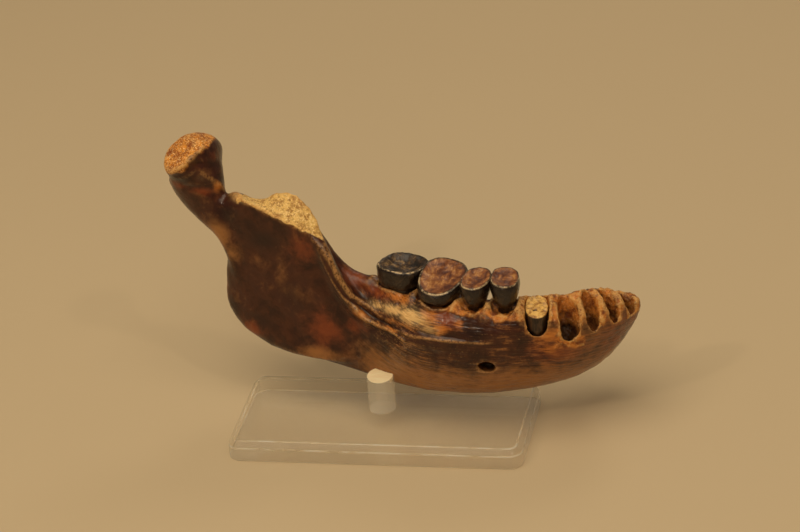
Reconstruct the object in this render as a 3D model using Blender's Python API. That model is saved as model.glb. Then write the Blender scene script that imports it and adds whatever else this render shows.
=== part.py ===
"""Right half of a fossil human lower jaw, with four worn cheek teeth, on its clear acrylic museum stand.

Metres, +Z up. The origin is the middle of the stand's underside. The jaw is modelled in a frame of its
own, in millimetres: x runs forward along the tooth row, y to the jaw's left and z up, and z is 0 at the
bone's edge under the second molar. An empty turns and lifts that frame into the pose in which the stand
holds the jaw.
"""

import math

import bmesh
import bpy
from mathutils import Euler, Matrix, Vector

MM = 0.001

# The stand, in millimetres
PLATE_LENGTH = 72.5
PLATE_DEPTH = 34.0
PLATE_THICKNESS = 5.0
PLATE_CORNER = 3.5
PLATE_BEVEL = 1.5
PLATE_CORNER_STEPS = 6
ROD_DIAMETER = 6.6
ROD_HEIGHT = 9.1
ROD_PLACE = (-0.8, 1.8)
ROD_SLANT = 7.0
ROD_SIDES = 48

# The pose of the jaw on the stand: angles in degrees, place in millimetres
JAW_YAW, JAW_PITCH, JAW_ROLL = -38.5, -1.0, -5.0
JAW_PLACE = Vector((22.6, 33.3, 32.0))

# Room between pieces that touch, and what the rod's seat needs beside what smoothing takes off the jaw
GAP = 0.3
SEAT_GAP = 0.25

# How finely things are made: points round a section and a tooth, steps between two stations, the size of
# the cells in which the bone's pieces grow together, and the share of its faces that it keeps
AROUND = 56
TOOTH_AROUND = 28
STEPS = 6
FIRST_VOXEL, FIRST_SMOOTHINGS = 0.5, 24
SECOND_VOXEL, SECOND_SMOOTHINGS = 0.4, 3
BONE_SHARE = 0.05

# How square the sections are: 2 is an oval, more is squarer
SQUARE_TOP = 3.6
SQUARE_BASE = 2.4
SQUARE_RAMUS = 2.6
SQUARE_NECK = 2.2
SQUARE_MOLAR = 2.9
SQUARE_PREMOLAR = 2.3
SQUARE_ROOT = 2.1

# Each stretch of the body of the jaw: the middle of its upper edge and of its base, then how far it
# reaches outwards and inwards at the rim, at two heights below it and at the base, and how steeply its top
# falls outwards.
BODY = (
    ((40.8, 11.0, -1.7), (30.0, 9.4, -18.6), (3.6, 4.8, 4.8, 3.6), (3.0, 3.6, 3.6, 3.6), 0.1),
    ((40.6, 6.6, -0.2), (29.4, 6.2, -21.8), (4.2, 6.2, 6.2, 4.8), (3.8, 4.8, 4.4, 4.8), 0.3),
    ((40.6, 0.0, 2.0), (28.2, 0.0, -23.8), (5.0, 7.5, 7.6, 5.8), (4.2, 5.6, 4.6, 5.4), 0.4),
    ((38.6, -8.4, 2.2), (26.2, -7.6, -24.4), (4.8, 7.4, 7.8, 6.0), (4.8, 5.8, 4.8, 5.4), 0.4),
    ((33.8, -15.0, 2.2), (23.6, -13.2, -24.7), (4.8, 6.6, 7.2, 5.6), (5.0, 6.0, 5.0, 5.4), 0.4),
    ((28.0, -20.2, 1.4), (19.8, -19.0, -25.0), (4.8, 7.0, 7.2, 5.6), (4.8, 6.0, 5.0, 5.2), 0.3),
    ((21.6, -23.9, 0.8), (14.6, -24.0, -25.1), (5.0, 7.4, 7.0, 5.4), (5.2, 6.4, 5.0, 5.0), 0.2),
    ((12.4, -27.0, 0.8), (7.4, -28.8, -25.2), (6.2, 8.4, 6.8, 5.0), (6.0, 6.8, 5.2, 4.8), 0.1),
    ((0.2, -28.6, 0.8), (-3.0, -33.4, -24.6), (6.4, 7.6, 5.6, 4.4), (6.2, 7.6, 5.6, 4.6), 0.1),
    ((-9.0, -32.4, -1.6), (-13.0, -38.4, -22.8), (4.2, 5.0, 4.0, 3.6), (3.6, 5.8, 4.6, 4.0), 0.0),
    ((-18.0, -37.4, -6.0), (-22.0, -43.2, -21.2), (3.0, 3.6, 3.4, 3.0), (2.6, 3.6, 3.4, 3.2), 0.0),
    ((-25.0, -41.4, -9.0), (-29.0, -46.6, -19.8), (2.2, 2.8, 2.8, 2.6), (2.2, 2.6, 2.6, 2.6), 0.0),
)

# Seen from above, the ramus lies along the line y = RAMUS_OUT + RAMUS_SPLAY * x.
RAMUS_OUT = -34.3
RAMUS_SPLAY = 0.416

# Each level of the ramus: x and height of its front and of its back edge, then half its thickness in front,
# midway and behind.
RAMUS = (
    ((-8.0, -20.8), (-28.4, -20.4), (2.0, 3.6, 2.8)),
    ((-5.0, -17.5), (-36.2, -17.0), (2.4, 3.4, 3.2)),
    ((-4.5, -11.0), (-40.6, -11.0), (3.0, 3.0, 3.2)),
    ((-9.6, -2.5), (-40.7, -2.5), (2.8, 2.8, 3.2)),
    ((-13.6, 5.0), (-39.9, 4.0), (2.6, 2.6, 3.2)),
    ((-15.9, 12.0), (-41.0, 10.5), (3.0, 2.8, 3.4)),
    ((-16.5, 16.6), (-43.4, 15.4), (3.4, 2.8, 3.0)),
    ((-19.6, 22.2), (-30.0, 22.2), (3.0, 3.0, 2.4)),
)

# The neck of the condyle: centre, half its length from front to back, half its width across.
NECK = (
    ((-36.6, -49.5, -4.0), 2.0, 2.6),
    ((-37.6, -50.0, 3.0), 2.6, 3.2),
    ((-40.0, -51.0, 9.0), 3.6, 3.4),
    ((-44.4, -52.6, 14.5), 5.4, 3.8),
    ((-47.0, -53.5, 19.0), 6.9, 5.4),
    ((-48.6, -53.8, 23.0), 6.9, 7.6),
)
NECK_ACROSS = Vector((0.36, -0.93, 0.0))
NECK_ROUNDING = 0.9

# The head of the condyle, an oval knob: centre, half sizes from front to back, across and up, and its turn
# in degrees
HEAD_PLACE = (-48.9, -53.7, 26.0)
HEAD_SIZE = (6.4, 9.4, 5.6)
HEAD_TURN = 20.0
# The face worn on its outer side: where it lies, which way it looks, how hollow and how broad the loss is
WORN_PLACE = Vector((-51.6, -56.6, 29.4))
WORN_FACING = Vector((-0.10, -0.60, 0.79)).normalized()
WORN_BULGE, WORN_BREADTH = 6.0, 30.0

# The ridge that runs from the front edge of the ramus down and forward over the body: centre and radius
OBLIQUE_RIDGE = (
    ((-16.4, -41.9, 12.0), 1.5),
    ((-13.2, -41.0, 5.5), 1.8),
    ((-10.2, -39.9, 0.0), 2.0),
    ((-7.0, -38.2, -4.6), 2.3),
    ((-2.6, -36.2, -7.8), 2.5),
    ((3.4, -35.2, -9.0), 2.5),
    ((10.4, -34.4, -9.0), 2.4),
    ((17.4, -32.0, -8.4), 2.1),
    ((23.4, -28.0, -8.4), 1.6),
    ((28.0, -23.4, -8.6), 0.8),
)

# The crest on the inner side that climbs from behind the last tooth to the top of the ramus
INNER_CREST = (
    ((-3.0, -31.4, -1.8), 2.6),
    ((-8.0, -33.6, -1.2), 2.5),
    ((-12.8, -35.8, 0.6), 2.2),
    ((-16.6, -37.6, 4.4), 2.0),
    ((-19.4, -39.4, 9.6), 1.9),
    ((-21.6, -41.0, 14.0), 1.8),
)

# The break that took off the coronoid process: x along the ramus, height of its outer and of its inner edge
BREAK = (
    (-40.5, 22.0, 21.0),
    (-37.5, 19.8, 18.4),
    (-34.5, 18.8, 17.0),
    (-31.5, 17.6, 17.4),
    (-28.5, 16.2, 19.6),
    (-25.5, 15.0, 20.6),
    (-22.5, 14.2, 20.2),
    (-20.0, 12.8, 18.4),
    (-17.5, 10.8, 16.0),
    (-14.5, 8.6, 12.0),
)
BREAK_STEPS = 3
BREAK_REACH, BREAK_HALF, BREAK_TALL = 7.0, 3.0, 14.0

# The worn cheek teeth: centre of the crown, length along the row, breadth across it, height of the worn face,
# how much higher that face stands on its inner side, and how square the crown is
TEETH = {
    "second_molar": ((0.2, -28.6), 12.2, 11.2, 5.8, 0.4, SQUARE_MOLAR),
    "first_molar": ((12.5, -27.2), 11.8, 11.2, 5.7, 5.0, SQUARE_MOLAR),
    "second_premolar": ((21.4, -24.0), 6.5, 9.2, 7.2, 2.0, SQUARE_PREMOLAR),
    "first_premolar": ((27.3, -20.0), 6.6, 8.4, 8.2, 1.6, SQUARE_PREMOLAR),
}
ROOT_DEPTH = 5.0
# From the root's end up: height as a share of the crown's, or in millimetres below the bone's edge,
# then the shares of the crown's length, of its breadth and of its tilt
ROOT_RINGS = ((-5.0, 0.52, 0.56, 0.0), (-3.0, 0.78, 0.80, 0.0), (0.0, 0.88, 0.90, 0.1))
CROWN_RINGS = ((0.40, 0.93, 0.95, 0.4), (0.66, 1.0, 1.0, 0.7), (0.94, 0.97, 0.97, 1.0), (1.0, 0.90, 0.90, 1.0))
# The hollow worn into the chewing face: share of the crown's size, millimetres below the rim
CUP_RINGS = ((0.78, 0.10), (0.60, 0.45), (0.30, 0.70))
HOLE_TOP = 6.0

# The empty sockets of the front teeth: centre, half the width along the row, depth, and how far down their
# thin outer wall is lost
SOCKETS = (
    ((38.4, -10.4), 2.4, 9.4, -4.0),
    ((40.5, -4.8), 2.0, 8.0, 0.4),
    ((41.2, 0.4), 1.9, 7.2, -0.2),
    ((40.9, 6.3), 2.1, 6.4, -1.0),
)
# Each socket's mouth from above the rim down: height above the wall's broken edge, share of the width, half
# the breadth, and how far it is set outwards, through the wall
SOCKET_MOUTH = ((7.5, 1.1, 7.4, 4.2), (3.0, 1.0, 5.8, 2.6), (0.0, 0.94, 4.4, 1.4))
# Its floor: height as a share of the depth, then the same
SOCKET_FLOOR = ((-0.70, 0.76, 2.6, 0.0), (-1.0, 0.30, 1.0, -0.4))

# The stump of the canine's root, whose broken face stands higher on its inner side. Its rings run from the
# root's end up: height, share of the size, share of the tilt.
CANINE_PLACE = (33.4, -15.4)
CANINE_HALF_LENGTH = 2.6
CANINE_HALF_BREADTH = 4.2
CANINE_TOP = 1.1
CANINE_TILT = 2.0
CANINE_DEPTH = 9.0
CANINE_WALL_LOST = -1.8
CANINE_RINGS = ((-7.0, 0.5, 0.0), (-4.0, 0.8, 0.0), (CANINE_TOP - 0.4, 1.0, 1.0), (CANINE_TOP, 0.92, 0.92))
PULP_PIT = ((0.0, 1.2, 1.3), (1.4, 0.7, 0.7))

# The two holes for the nerve: centre, half sizes along the jaw, up and into the bone, and the way in
MENTAL_HOLE = ((26.6, -25.4, -13.8), (2.1, 1.3, 3.2), (-0.50, 0.80, -0.33))
INNER_HOLE = ((-24.0, -41.6, -0.5), (2.0, 3.0, 3.0), (-0.1, -0.9, -0.42))

UP = Vector((0, 0, 1))
SHARP_ANGLE = math.radians(40)


def clear_scene():
    for obj in list(bpy.data.objects):
        bpy.data.objects.remove(obj, do_unlink=True)


def material(name, colour, roughness, alpha=1.0):
    made = bpy.data.materials.new(name)
    made.use_nodes = True
    shader = made.node_tree.nodes["Principled BSDF"]
    shader.inputs["Base Color"].default_value = (*colour, 1.0)
    shader.inputs["Roughness"].default_value = roughness
    shader.inputs["Metallic"].default_value = 0.0
    shader.inputs["Alpha"].default_value = alpha
    return made


def new_object(name, mesh):
    obj = bpy.data.objects.new(name, mesh)
    bpy.context.scene.collection.objects.link(obj)
    return obj


def mesh_object(name, points, faces):
    """A closed mesh from points in millimetres, its faces turned outwards and shaded smooth."""
    mesh = bpy.data.meshes.new(name)
    mesh.from_pydata([Vector(p) * MM for p in points], [], faces)
    shape = bmesh.new()
    shape.from_mesh(mesh)
    bmesh.ops.recalc_face_normals(shape, faces=shape.faces)
    shape.to_mesh(mesh)
    shape.free()
    mesh.shade_smooth()
    mesh.set_sharp_from_angle(angle=SHARP_ANGLE)
    return new_object(name, mesh)


def flat(row):
    """A row of numbers and tuples as one list of numbers."""
    return [n for item in row for n in (item if isinstance(item, tuple) else (item,))]


def smooth_rows(rows, steps=STEPS):
    """The rows, each flattened, with a smooth curve run through them in this many steps from row to row."""
    rows = [flat(row) for row in rows]
    ends = [rows[0], *rows, rows[-1]]
    found = []
    for before, here, there, after in zip(ends, ends[1:], ends[2:], ends[3:]):
        for k in range(steps):
            t = k / steps
            found.append([
                q + 0.5 * t * (r - p + (2 * p - 5 * q + 4 * r - s) * t + (3 * q - p - 3 * r + s) * t ** 2)
                for p, q, r, s in zip(before, here, there, after)
            ])
    found.append(rows[-1])
    return found


def loft(name, rings):
    """A closed body through rings of equally many points, with a fan at each end."""
    count = len(rings[0])
    points = [p for ring in rings for p in ring]
    faces = []
    for k in range(len(rings) - 1):
        for i in range(count):
            j = (i + 1) % count
            faces.append((k * count + i, k * count + j, (k + 1) * count + j, (k + 1) * count + i))
    for k in (0, len(rings) - 1):
        middle = len(points)
        points.append(sum(rings[k], Vector()) / count)
        for i in range(count):
            faces.append((k * count + i, k * count + (i + 1) % count, middle))
    return mesh_object(name, points, faces)


def circle_angles(count):
    return [2 * math.pi * k / count for k in range(count)]


def power(value, exponent):
    return math.copysign(abs(value) ** exponent, value)


def through(values, v):
    """The polynomial through values that are spaced evenly from v = 1 down to v = -1."""
    last = len(values) - 1
    places = [1 - 2 * k / last for k in range(last + 1)]
    total = 0.0
    for k, value in enumerate(values):
        share = value
        for j, place in enumerate(places):
            if j != k:
                share *= (v - place) / (places[k] - place)
        total += share
    return total


def section(top, base, outward, outer, inner, square_top, square_base, fall=0.0):
    """A rounded outline from base to top, whose reach to either side changes with height."""
    middle = (top + base) / 2
    half = (top - base) / 2
    ring = []
    for angle in circle_angles(AROUND):
        square = square_top if math.cos(angle) > 0 else square_base
        v = power(math.cos(angle), 2 / square)
        n = power(math.sin(angle), 2 / square)
        reach = through(outer if n > 0 else inner, v)
        lower = fall * n * reach * max(v, 0.0) ** 2
        ring.append(middle + half * v + outward * (n * reach) - UP * lower)
    return ring


def tangents(points):
    last = len(points) - 1
    return [(points[min(k + 1, last)] - points[max(k - 1, 0)]).normalized() for k in range(last + 1)]


def body_of_jaw(name="body_of_jaw", grown=0.0):
    """The body of the jaw, or a copy of it that is this much fatter outwards, inwards and below."""
    rows = smooth_rows(BODY)
    tops = [Vector(r[0:3]) for r in rows]
    bases = [Vector(r[3:6]) for r in rows]
    ways = tangents([(a + b) / 2 for a, b in zip(tops, bases)])
    rings = []
    for row, top, base, way in zip(rows, tops, bases, ways):
        outward = Vector((-way.y, way.x, 0)).normalized()
        base = base - (top - base).normalized() * grown
        reach = [r + grown for r in row[6:14]]
        rings.append(section(top, base, outward, reach[:4], reach[4:], SQUARE_TOP, SQUARE_BASE, row[14]))
    return loft(name, rings)


def on_ramus(x, z):
    return Vector((x, RAMUS_OUT + RAMUS_SPLAY * x, z))


def ramus():
    rings = []
    for row in smooth_rows(RAMUS):
        front, back = on_ramus(*row[0:2]), on_ramus(*row[2:4])
        way = front - back
        side = Vector((-way.y, way.x, 0)).normalized()
        rings.append(section(front, back, side, row[4:7], row[4:7], SQUARE_RAMUS, SQUARE_RAMUS))
    return loft("ramus", rings)


def neck():
    rows = smooth_rows(NECK)
    centres = [Vector(r[0:3]) for r in rows]
    rings = []
    for row, centre, way in zip(rows, centres, tangents(centres)):
        forward = way.cross(NECK_ACROSS).normalized()
        across = forward.cross(way).normalized()
        length, width = row[3:5]
        reach = (width * NECK_ROUNDING, width, width * NECK_ROUNDING)
        ends = centre + forward * length, centre - forward * length
        rings.append(section(*ends, across, reach, reach, SQUARE_NECK, SQUARE_NECK))
    return loft("neck", rings)


def tube(name, route, around=24):
    rows = smooth_rows(route)
    centres = [Vector(r[0:3]) for r in rows]
    rings = []
    for row, centre, way in zip(rows, centres, tangents(centres)):
        side = way.cross(UP).normalized()
        rise = side.cross(way)
        spokes = [side * math.cos(a) + rise * math.sin(a) for a in circle_angles(around)]
        rings.append([centre + spoke * row[3] for spoke in spokes])
    return loft(name, rings)


def ball(name, centre, columns, around=32):
    """A ball stretched along three directions, which are given with their lengths."""
    shape = bmesh.new()
    bmesh.ops.create_uvsphere(shape, u_segments=around, v_segments=around // 2, radius=1.0)
    turn = Matrix(columns).transposed()
    points = [Vector(centre) + turn @ v.co for v in shape.verts]
    faces = [[v.index for v in f.verts] for f in shape.faces]
    shape.free()
    return mesh_object(name, points, faces)


def facing_axes(facing):
    """Two directions across a facing: one level, and one that rises."""
    level = facing.cross(UP).normalized()
    return level, level.cross(facing)


def head():
    turn = Matrix.Rotation(math.radians(HEAD_TURN), 3, "Z")
    return ball("head", HEAD_PLACE, [turn.col[k] * HEAD_SIZE[k] for k in range(3)], 40)


def worn_cutter():
    """What is worn off the outer side of the head: a broad, slightly hollow face."""
    level, rise = facing_axes(WORN_FACING)
    columns = (level * WORN_BREADTH, rise * WORN_BREADTH, WORN_FACING * WORN_BULGE)
    return ball("worn_cutter", WORN_PLACE + WORN_FACING * WORN_BULGE, columns, 48)


def hole_cutter(name, centre, sizes, inward):
    """A short oval tunnel into the bone."""
    inward = Vector(inward).normalized()
    level, rise = facing_axes(inward)
    return ball(name, centre, (level * sizes[0], rise * sizes[1], inward * sizes[2]), 20)


def break_cutter():
    """The space above the slanting break that took off the coronoid process."""
    along = Vector((1, RAMUS_SPLAY, 0)).normalized()
    across = Vector((-along.y, along.x, 0))
    rings = []
    for x, outer, inner in smooth_rows(BREAK, BREAK_STEPS):
        middle = on_ramus(x, (inner + outer) / 2)
        slope = (inner - outer) / (2 * BREAK_HALF)
        low = [middle + across * side + UP * (slope * side) for side in (-BREAK_REACH, 0, BREAK_REACH)]
        high = [middle + across * side + UP * BREAK_TALL for side in (BREAK_REACH, -BREAK_REACH)]
        rings.append(low + high)
    return loft("break_cutter", rings)


def row_directions(x, y):
    """The directions along the tooth row and out of it, at a place in it."""
    tops = [Vector(row[0]).xy for row in BODY]
    inside = range(1, len(tops) - 1)
    nearest = min(inside, key=lambda k: (tops[k] - Vector((x, y))).length)
    way = (tops[nearest - 1] - tops[nearest + 1]).normalized()
    return Vector((way.x, way.y, 0)), Vector((way.y, -way.x, 0))


def oval(place, z, half_length, half_breadth, square, shift=0.0, tilt=0.0):
    """A rounded ring in the tooth row; shift sets it outwards and tilt raises its inner side."""
    along, outward = row_directions(*place)
    centre = Vector((*place, z)) + outward * shift
    ring = []
    for angle in circle_angles(TOOTH_AROUND):
        a = power(math.cos(angle), 2 / square)
        o = power(math.sin(angle), 2 / square)
        ring.append(centre + along * (a * half_length) + outward * (o * half_breadth) - UP * (tilt * o / 2))
    return ring


def tooth_rings(place, length, breadth, height, tilt, square, extra=0.0):
    """The rings from the root's end up to the worn rim, or those of a hole that is wider by extra."""
    levels = ROOT_RINGS + tuple((share * height, *rest) for share, *rest in CROWN_RINGS)
    rings = []
    for z, long_share, broad_share, tilt_share in levels:
        below = extra if z == -ROOT_DEPTH else 0.0
        half_length = length / 2 * long_share + extra
        half_breadth = breadth / 2 * broad_share + extra
        rings.append(oval(place, z - below, half_length, half_breadth, square, tilt=tilt * tilt_share))
    return rings


def tooth(name, place, length, breadth, height, tilt, square):
    rings = tooth_rings(place, length, breadth, height, tilt, square)
    for share, drop in CUP_RINGS:
        halves = length / 2 * share, breadth / 2 * share
        rings.append(oval(place, height - drop, *halves, square, tilt=tilt * share))
    return loft(name, rings)


def tooth_cutter(name, *sizes):
    """The hole for a tooth's root, and the room beside its crown."""
    rings = tooth_rings(*sizes, extra=GAP)[:5]
    rings.append([p + UP * HOLE_TOP for p in rings[-1]])
    return loft(name + "_hole", rings)


def socket_cutter(name, place, half_width, depth, lost):
    """An empty socket, open on its outer side where the thin wall is lost."""
    levels = [(lost + above, *rest) for above, *rest in SOCKET_MOUTH]
    levels += [(share * depth, *rest) for share, *rest in SOCKET_FLOOR]
    return loft(name, [
        oval(place, z, half_width * wide, breadth, SQUARE_PREMOLAR, shift=shift)
        for z, wide, breadth, shift in levels
    ])


def canine_rings(extra=0.0):
    """The root of the canine up to its broken face, or the hole that it stands in."""
    rings = []
    for z, share, tilt_share in CANINE_RINGS:
        below = extra if z == CANINE_RINGS[0][0] else 0.0
        half_length = CANINE_HALF_LENGTH * share + extra
        half_breadth = CANINE_HALF_BREADTH * share + extra
        tilt = CANINE_TILT * tilt_share
        rings.append(oval(CANINE_PLACE, z - below, half_length, half_breadth, SQUARE_ROOT, tilt=tilt))
    return rings


def canine_root():
    """The stump of the canine's root, with the pit of its pulp in the broken face."""
    pit = []
    for drop, length, breadth in PULP_PIT:
        tilt = CANINE_TILT * breadth / CANINE_HALF_BREADTH
        pit.append(oval(CANINE_PLACE, CANINE_TOP - drop, length, breadth, SQUARE_ROOT, tilt=tilt))
    return loft("canine_root", canine_rings() + pit)


def canine_cutter():
    rings = canine_rings(GAP)[:-1]
    rings.append([p + UP * HOLE_TOP for p in rings[-1]])
    return loft("canine_hole", rings)


def joined(name, pieces):
    """One mesh that holds the faces of all the pieces, which are then removed."""
    shape = bmesh.new()
    for piece in pieces:
        shape.from_mesh(piece.data)
        bpy.data.objects.remove(piece, do_unlink=True)
    mesh = bpy.data.meshes.new(name)
    shape.to_mesh(mesh)
    shape.free()
    return new_object(name, mesh)


def grow_together(bone, voxel, smoothings):
    """Make one even skin round all that is in the bone so far, and soften it."""
    remesh = bone.modifiers.new("grow together", "REMESH")
    remesh.mode = "VOXEL"
    remesh.voxel_size = voxel * MM
    remesh.use_smooth_shade = True
    smooth = bone.modifiers.new("soften", "SMOOTH")
    smooth.factor = 0.5
    smooth.iterations = smoothings


def cut_away(piece, cutters):
    for cutter in cutters:
        cut = piece.modifiers.new(cutter.name, "BOOLEAN")
        cut.operation = "DIFFERENCE"
        cut.object = cutter
        cutter.hide_render = True
        cutter.display_type = "WIRE"


def jawbone():
    """The bone, and the cutters that its modifiers use."""
    bone = joined("jawbone", [
        body_of_jaw(), ramus(), neck(), head(),
        tube("oblique_ridge", OBLIQUE_RIDGE), tube("inner_crest", INNER_CREST),
    ])
    losses = [break_cutter(), worn_cutter()]
    losses += [hole_cutter("mental_hole", *MENTAL_HOLE), hole_cutter("inner_hole", *INNER_HOLE)]
    canine_sizes = CANINE_PLACE, CANINE_HALF_LENGTH + GAP, CANINE_DEPTH, CANINE_WALL_LOST
    losses.append(socket_cutter("canine_socket", *canine_sizes))
    losses += [socket_cutter(f"socket_{number}", *sizes) for number, sizes in enumerate(SOCKETS)]
    roots = [canine_cutter()] + [tooth_cutter(name, *sizes) for name, sizes in TEETH.items()]
    grow_together(bone, FIRST_VOXEL, FIRST_SMOOTHINGS)
    cut_away(bone, losses)
    grow_together(bone, SECOND_VOXEL, SECOND_SMOOTHINGS)
    thin = bone.modifiers.new("fewer faces", "DECIMATE")
    thin.ratio = BONE_SHARE
    cut_away(bone, roots)
    return bone, losses + roots


def plate():
    """The stand's plate, with rounded corners and a bevel round its top."""
    half_x, half_y = PLATE_LENGTH / 2, PLATE_DEPTH / 2
    outline = []
    for side_x, side_y, start in ((1, 1, 0), (-1, 1, 90), (-1, -1, 180), (1, -1, 270)):
        for k in range(PLATE_CORNER_STEPS + 1):
            angle = math.radians(start + 90 * k / PLATE_CORNER_STEPS)
            outline.append((
                side_x * (half_x - PLATE_CORNER) + PLATE_CORNER * math.cos(angle),
                side_y * (half_y - PLATE_CORNER) + PLATE_CORNER * math.sin(angle),
            ))
    bevel_x, bevel_y = 1 - PLATE_BEVEL / half_x, 1 - PLATE_BEVEL / half_y
    levels = ((0.0, 1, 1), (PLATE_THICKNESS - PLATE_BEVEL, 1, 1), (PLATE_THICKNESS, bevel_x, bevel_y))
    return loft("stand_base", [[Vector((x * sx, y * sy, z)) for x, y in outline] for z, sx, sy in levels])


def rod(seat):
    """The rod, its top sloping a little to the front and hollowed where the jaw's base lies on it."""
    radius = ROD_DIAMETER / 2
    slope = math.tan(math.radians(ROD_SLANT))
    rings = []
    for z, slant in ((PLATE_THICKNESS + GAP, 0.0), (PLATE_THICKNESS + ROD_HEIGHT, slope)):
        round_rod = [(radius * math.cos(a), radius * math.sin(a)) for a in circle_angles(ROD_SIDES)]
        rings.append([Vector((ROD_PLACE[0] + x, ROD_PLACE[1] + y, z + slant * y)) for x, y in round_rod])
    made = loft("stand_rod", rings)
    cut_away(made, [seat])
    return made


def main():
    clear_scene()
    bone_brown = material("fossil bone", (0.20, 0.09, 0.04), 0.45)
    enamel_dark = material("dark worn tooth", (0.03, 0.022, 0.018), 0.3)
    dentine_gold = material("broken root", (0.5, 0.34, 0.14), 0.5)
    acrylic = material("clear acrylic", (0.85, 0.87, 0.86), 0.05, 0.3)

    bone, cutters = jawbone()
    bone.data.materials.append(bone_brown)
    stump = canine_root()
    stump.data.materials.append(dentine_gold)
    teeth = [tooth(name, *sizes) for name, sizes in TEETH.items()]
    for piece in teeth:
        piece.data.materials.append(enamel_dark)
    seat = body_of_jaw("seat", SEAT_GAP)
    for piece in (plate(), rod(seat)):
        piece.data.materials.append(acrylic)

    pose = new_object("jaw_pose", None)
    pose.location = JAW_PLACE * MM
    pose.rotation_euler = Euler([math.radians(a) for a in (JAW_ROLL, JAW_PITCH, JAW_YAW)], "XYZ")
    for piece in (bone, stump, seat, *teeth, *cutters):
        piece.parent = pose


main()
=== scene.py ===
# %% [markdown]
# # A fossil human jawbone on its clear stand
#
# The right half of a human lower jaw, dug up and now nearly black, is varnished and set on a small acrylic
# stand. In this lesson it gets its looks: the fibrous, pitted skin of the bone, the spongy inside where it is
# broken, teeth worn flat, and clear polished acrylic.
#
# The solids come first. They are loaded as a fixed frame in metres, and every piece made here goes where they
# are. Two more jobs are done at once: the box of the solids is kept, to compare with the finished model, and
# the modules that the lesson needs are brought in.

# %% Load the solids
import math

import bmesh
import bpy
import numpy as np
from mathutils import Euler, Matrix, Vector, noise
from mathutils.bvhtree import BVHTree


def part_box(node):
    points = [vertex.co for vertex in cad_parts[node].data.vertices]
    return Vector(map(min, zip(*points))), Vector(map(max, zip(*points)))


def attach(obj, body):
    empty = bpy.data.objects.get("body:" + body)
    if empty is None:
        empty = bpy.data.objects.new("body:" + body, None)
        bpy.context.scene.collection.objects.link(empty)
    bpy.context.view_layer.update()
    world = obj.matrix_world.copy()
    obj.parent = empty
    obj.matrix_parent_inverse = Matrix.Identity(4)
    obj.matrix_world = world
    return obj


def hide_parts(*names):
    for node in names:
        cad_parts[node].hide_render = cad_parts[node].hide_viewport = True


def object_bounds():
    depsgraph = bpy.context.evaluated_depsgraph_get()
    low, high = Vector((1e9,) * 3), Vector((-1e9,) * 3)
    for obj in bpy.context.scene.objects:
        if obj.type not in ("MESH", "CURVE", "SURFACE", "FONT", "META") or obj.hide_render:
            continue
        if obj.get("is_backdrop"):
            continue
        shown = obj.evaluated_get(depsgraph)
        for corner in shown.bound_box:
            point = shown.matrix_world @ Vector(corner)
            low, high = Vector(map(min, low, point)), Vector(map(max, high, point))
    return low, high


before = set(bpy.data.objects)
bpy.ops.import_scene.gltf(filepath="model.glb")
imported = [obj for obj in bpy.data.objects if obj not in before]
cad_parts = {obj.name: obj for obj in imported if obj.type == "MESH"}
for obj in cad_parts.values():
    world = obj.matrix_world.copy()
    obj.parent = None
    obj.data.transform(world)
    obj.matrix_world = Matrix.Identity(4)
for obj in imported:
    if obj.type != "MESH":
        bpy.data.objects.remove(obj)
cad_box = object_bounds()
print("solids:", ", ".join(sorted(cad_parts)))

# %% [markdown]
# ## The camera
#
# The photograph was taken from a little above and to the right, with a long lens from less than a metre away,
# and the camera was not quite level. A camera could be aimed with a Track To constraint, but that can't lean
# over. Here its three axes are worked out from two angles and the lean, and set as one matrix.

# %% The camera's place, direction and lean
MM = 0.001
AIM = Vector((3.1, 16.9, 36.3)) * MM
VIEW_DISTANCE = 0.813
VIEW_AZIMUTH, VIEW_ELEVATION, VIEW_LEAN = (math.radians(angle) for angle in (13.0, 28.0, 5.0))
LENS, FILM_WIDTH = 150.0, 36.0
NEAREST_SEEN = 0.01


def added(name, data):
    """A new object in the scene."""
    thing = bpy.data.objects.new(name, data)
    bpy.context.scene.collection.objects.link(thing)
    return thing


def away(azimuth, elevation):
    """The direction from the object to something seen at these two angles."""
    level = math.cos(elevation)
    return Vector((math.sin(azimuth) * level, -math.cos(azimuth) * level, math.sin(elevation)))


camera_data = bpy.data.cameras.new("camera")
camera_data.lens = LENS
camera_data.sensor_width = FILM_WIDTH
camera_data.clip_start = NEAREST_SEEN
camera = added("camera", camera_data)

back = away(VIEW_AZIMUTH, VIEW_ELEVATION)
level = Vector((math.cos(VIEW_AZIMUTH), math.sin(VIEW_AZIMUTH), 0))
rise = back.cross(level)
right = level * math.cos(VIEW_LEAN) - rise * math.sin(VIEW_LEAN)
up = level * math.sin(VIEW_LEAN) + rise * math.cos(VIEW_LEAN)
turn = Matrix((right, up, back)).transposed().to_4x4()
camera.matrix_world = Matrix.Translation(AIM + back * VIEW_DISTANCE) @ turn
bpy.context.scene.camera = camera
print("camera at", tuple(round(c, 3) for c in camera.location), "metres")

# %% [markdown]
# ## Materials from nodes
#
# Every finish below is a small graph of nodes that ends in one Principled shader. Written out in full, such a
# graph takes many lines, so this class gives each kind of node a short name. A method adds a node or a few
# and returns the socket that carries the result, which the next method can take as an input.


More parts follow.
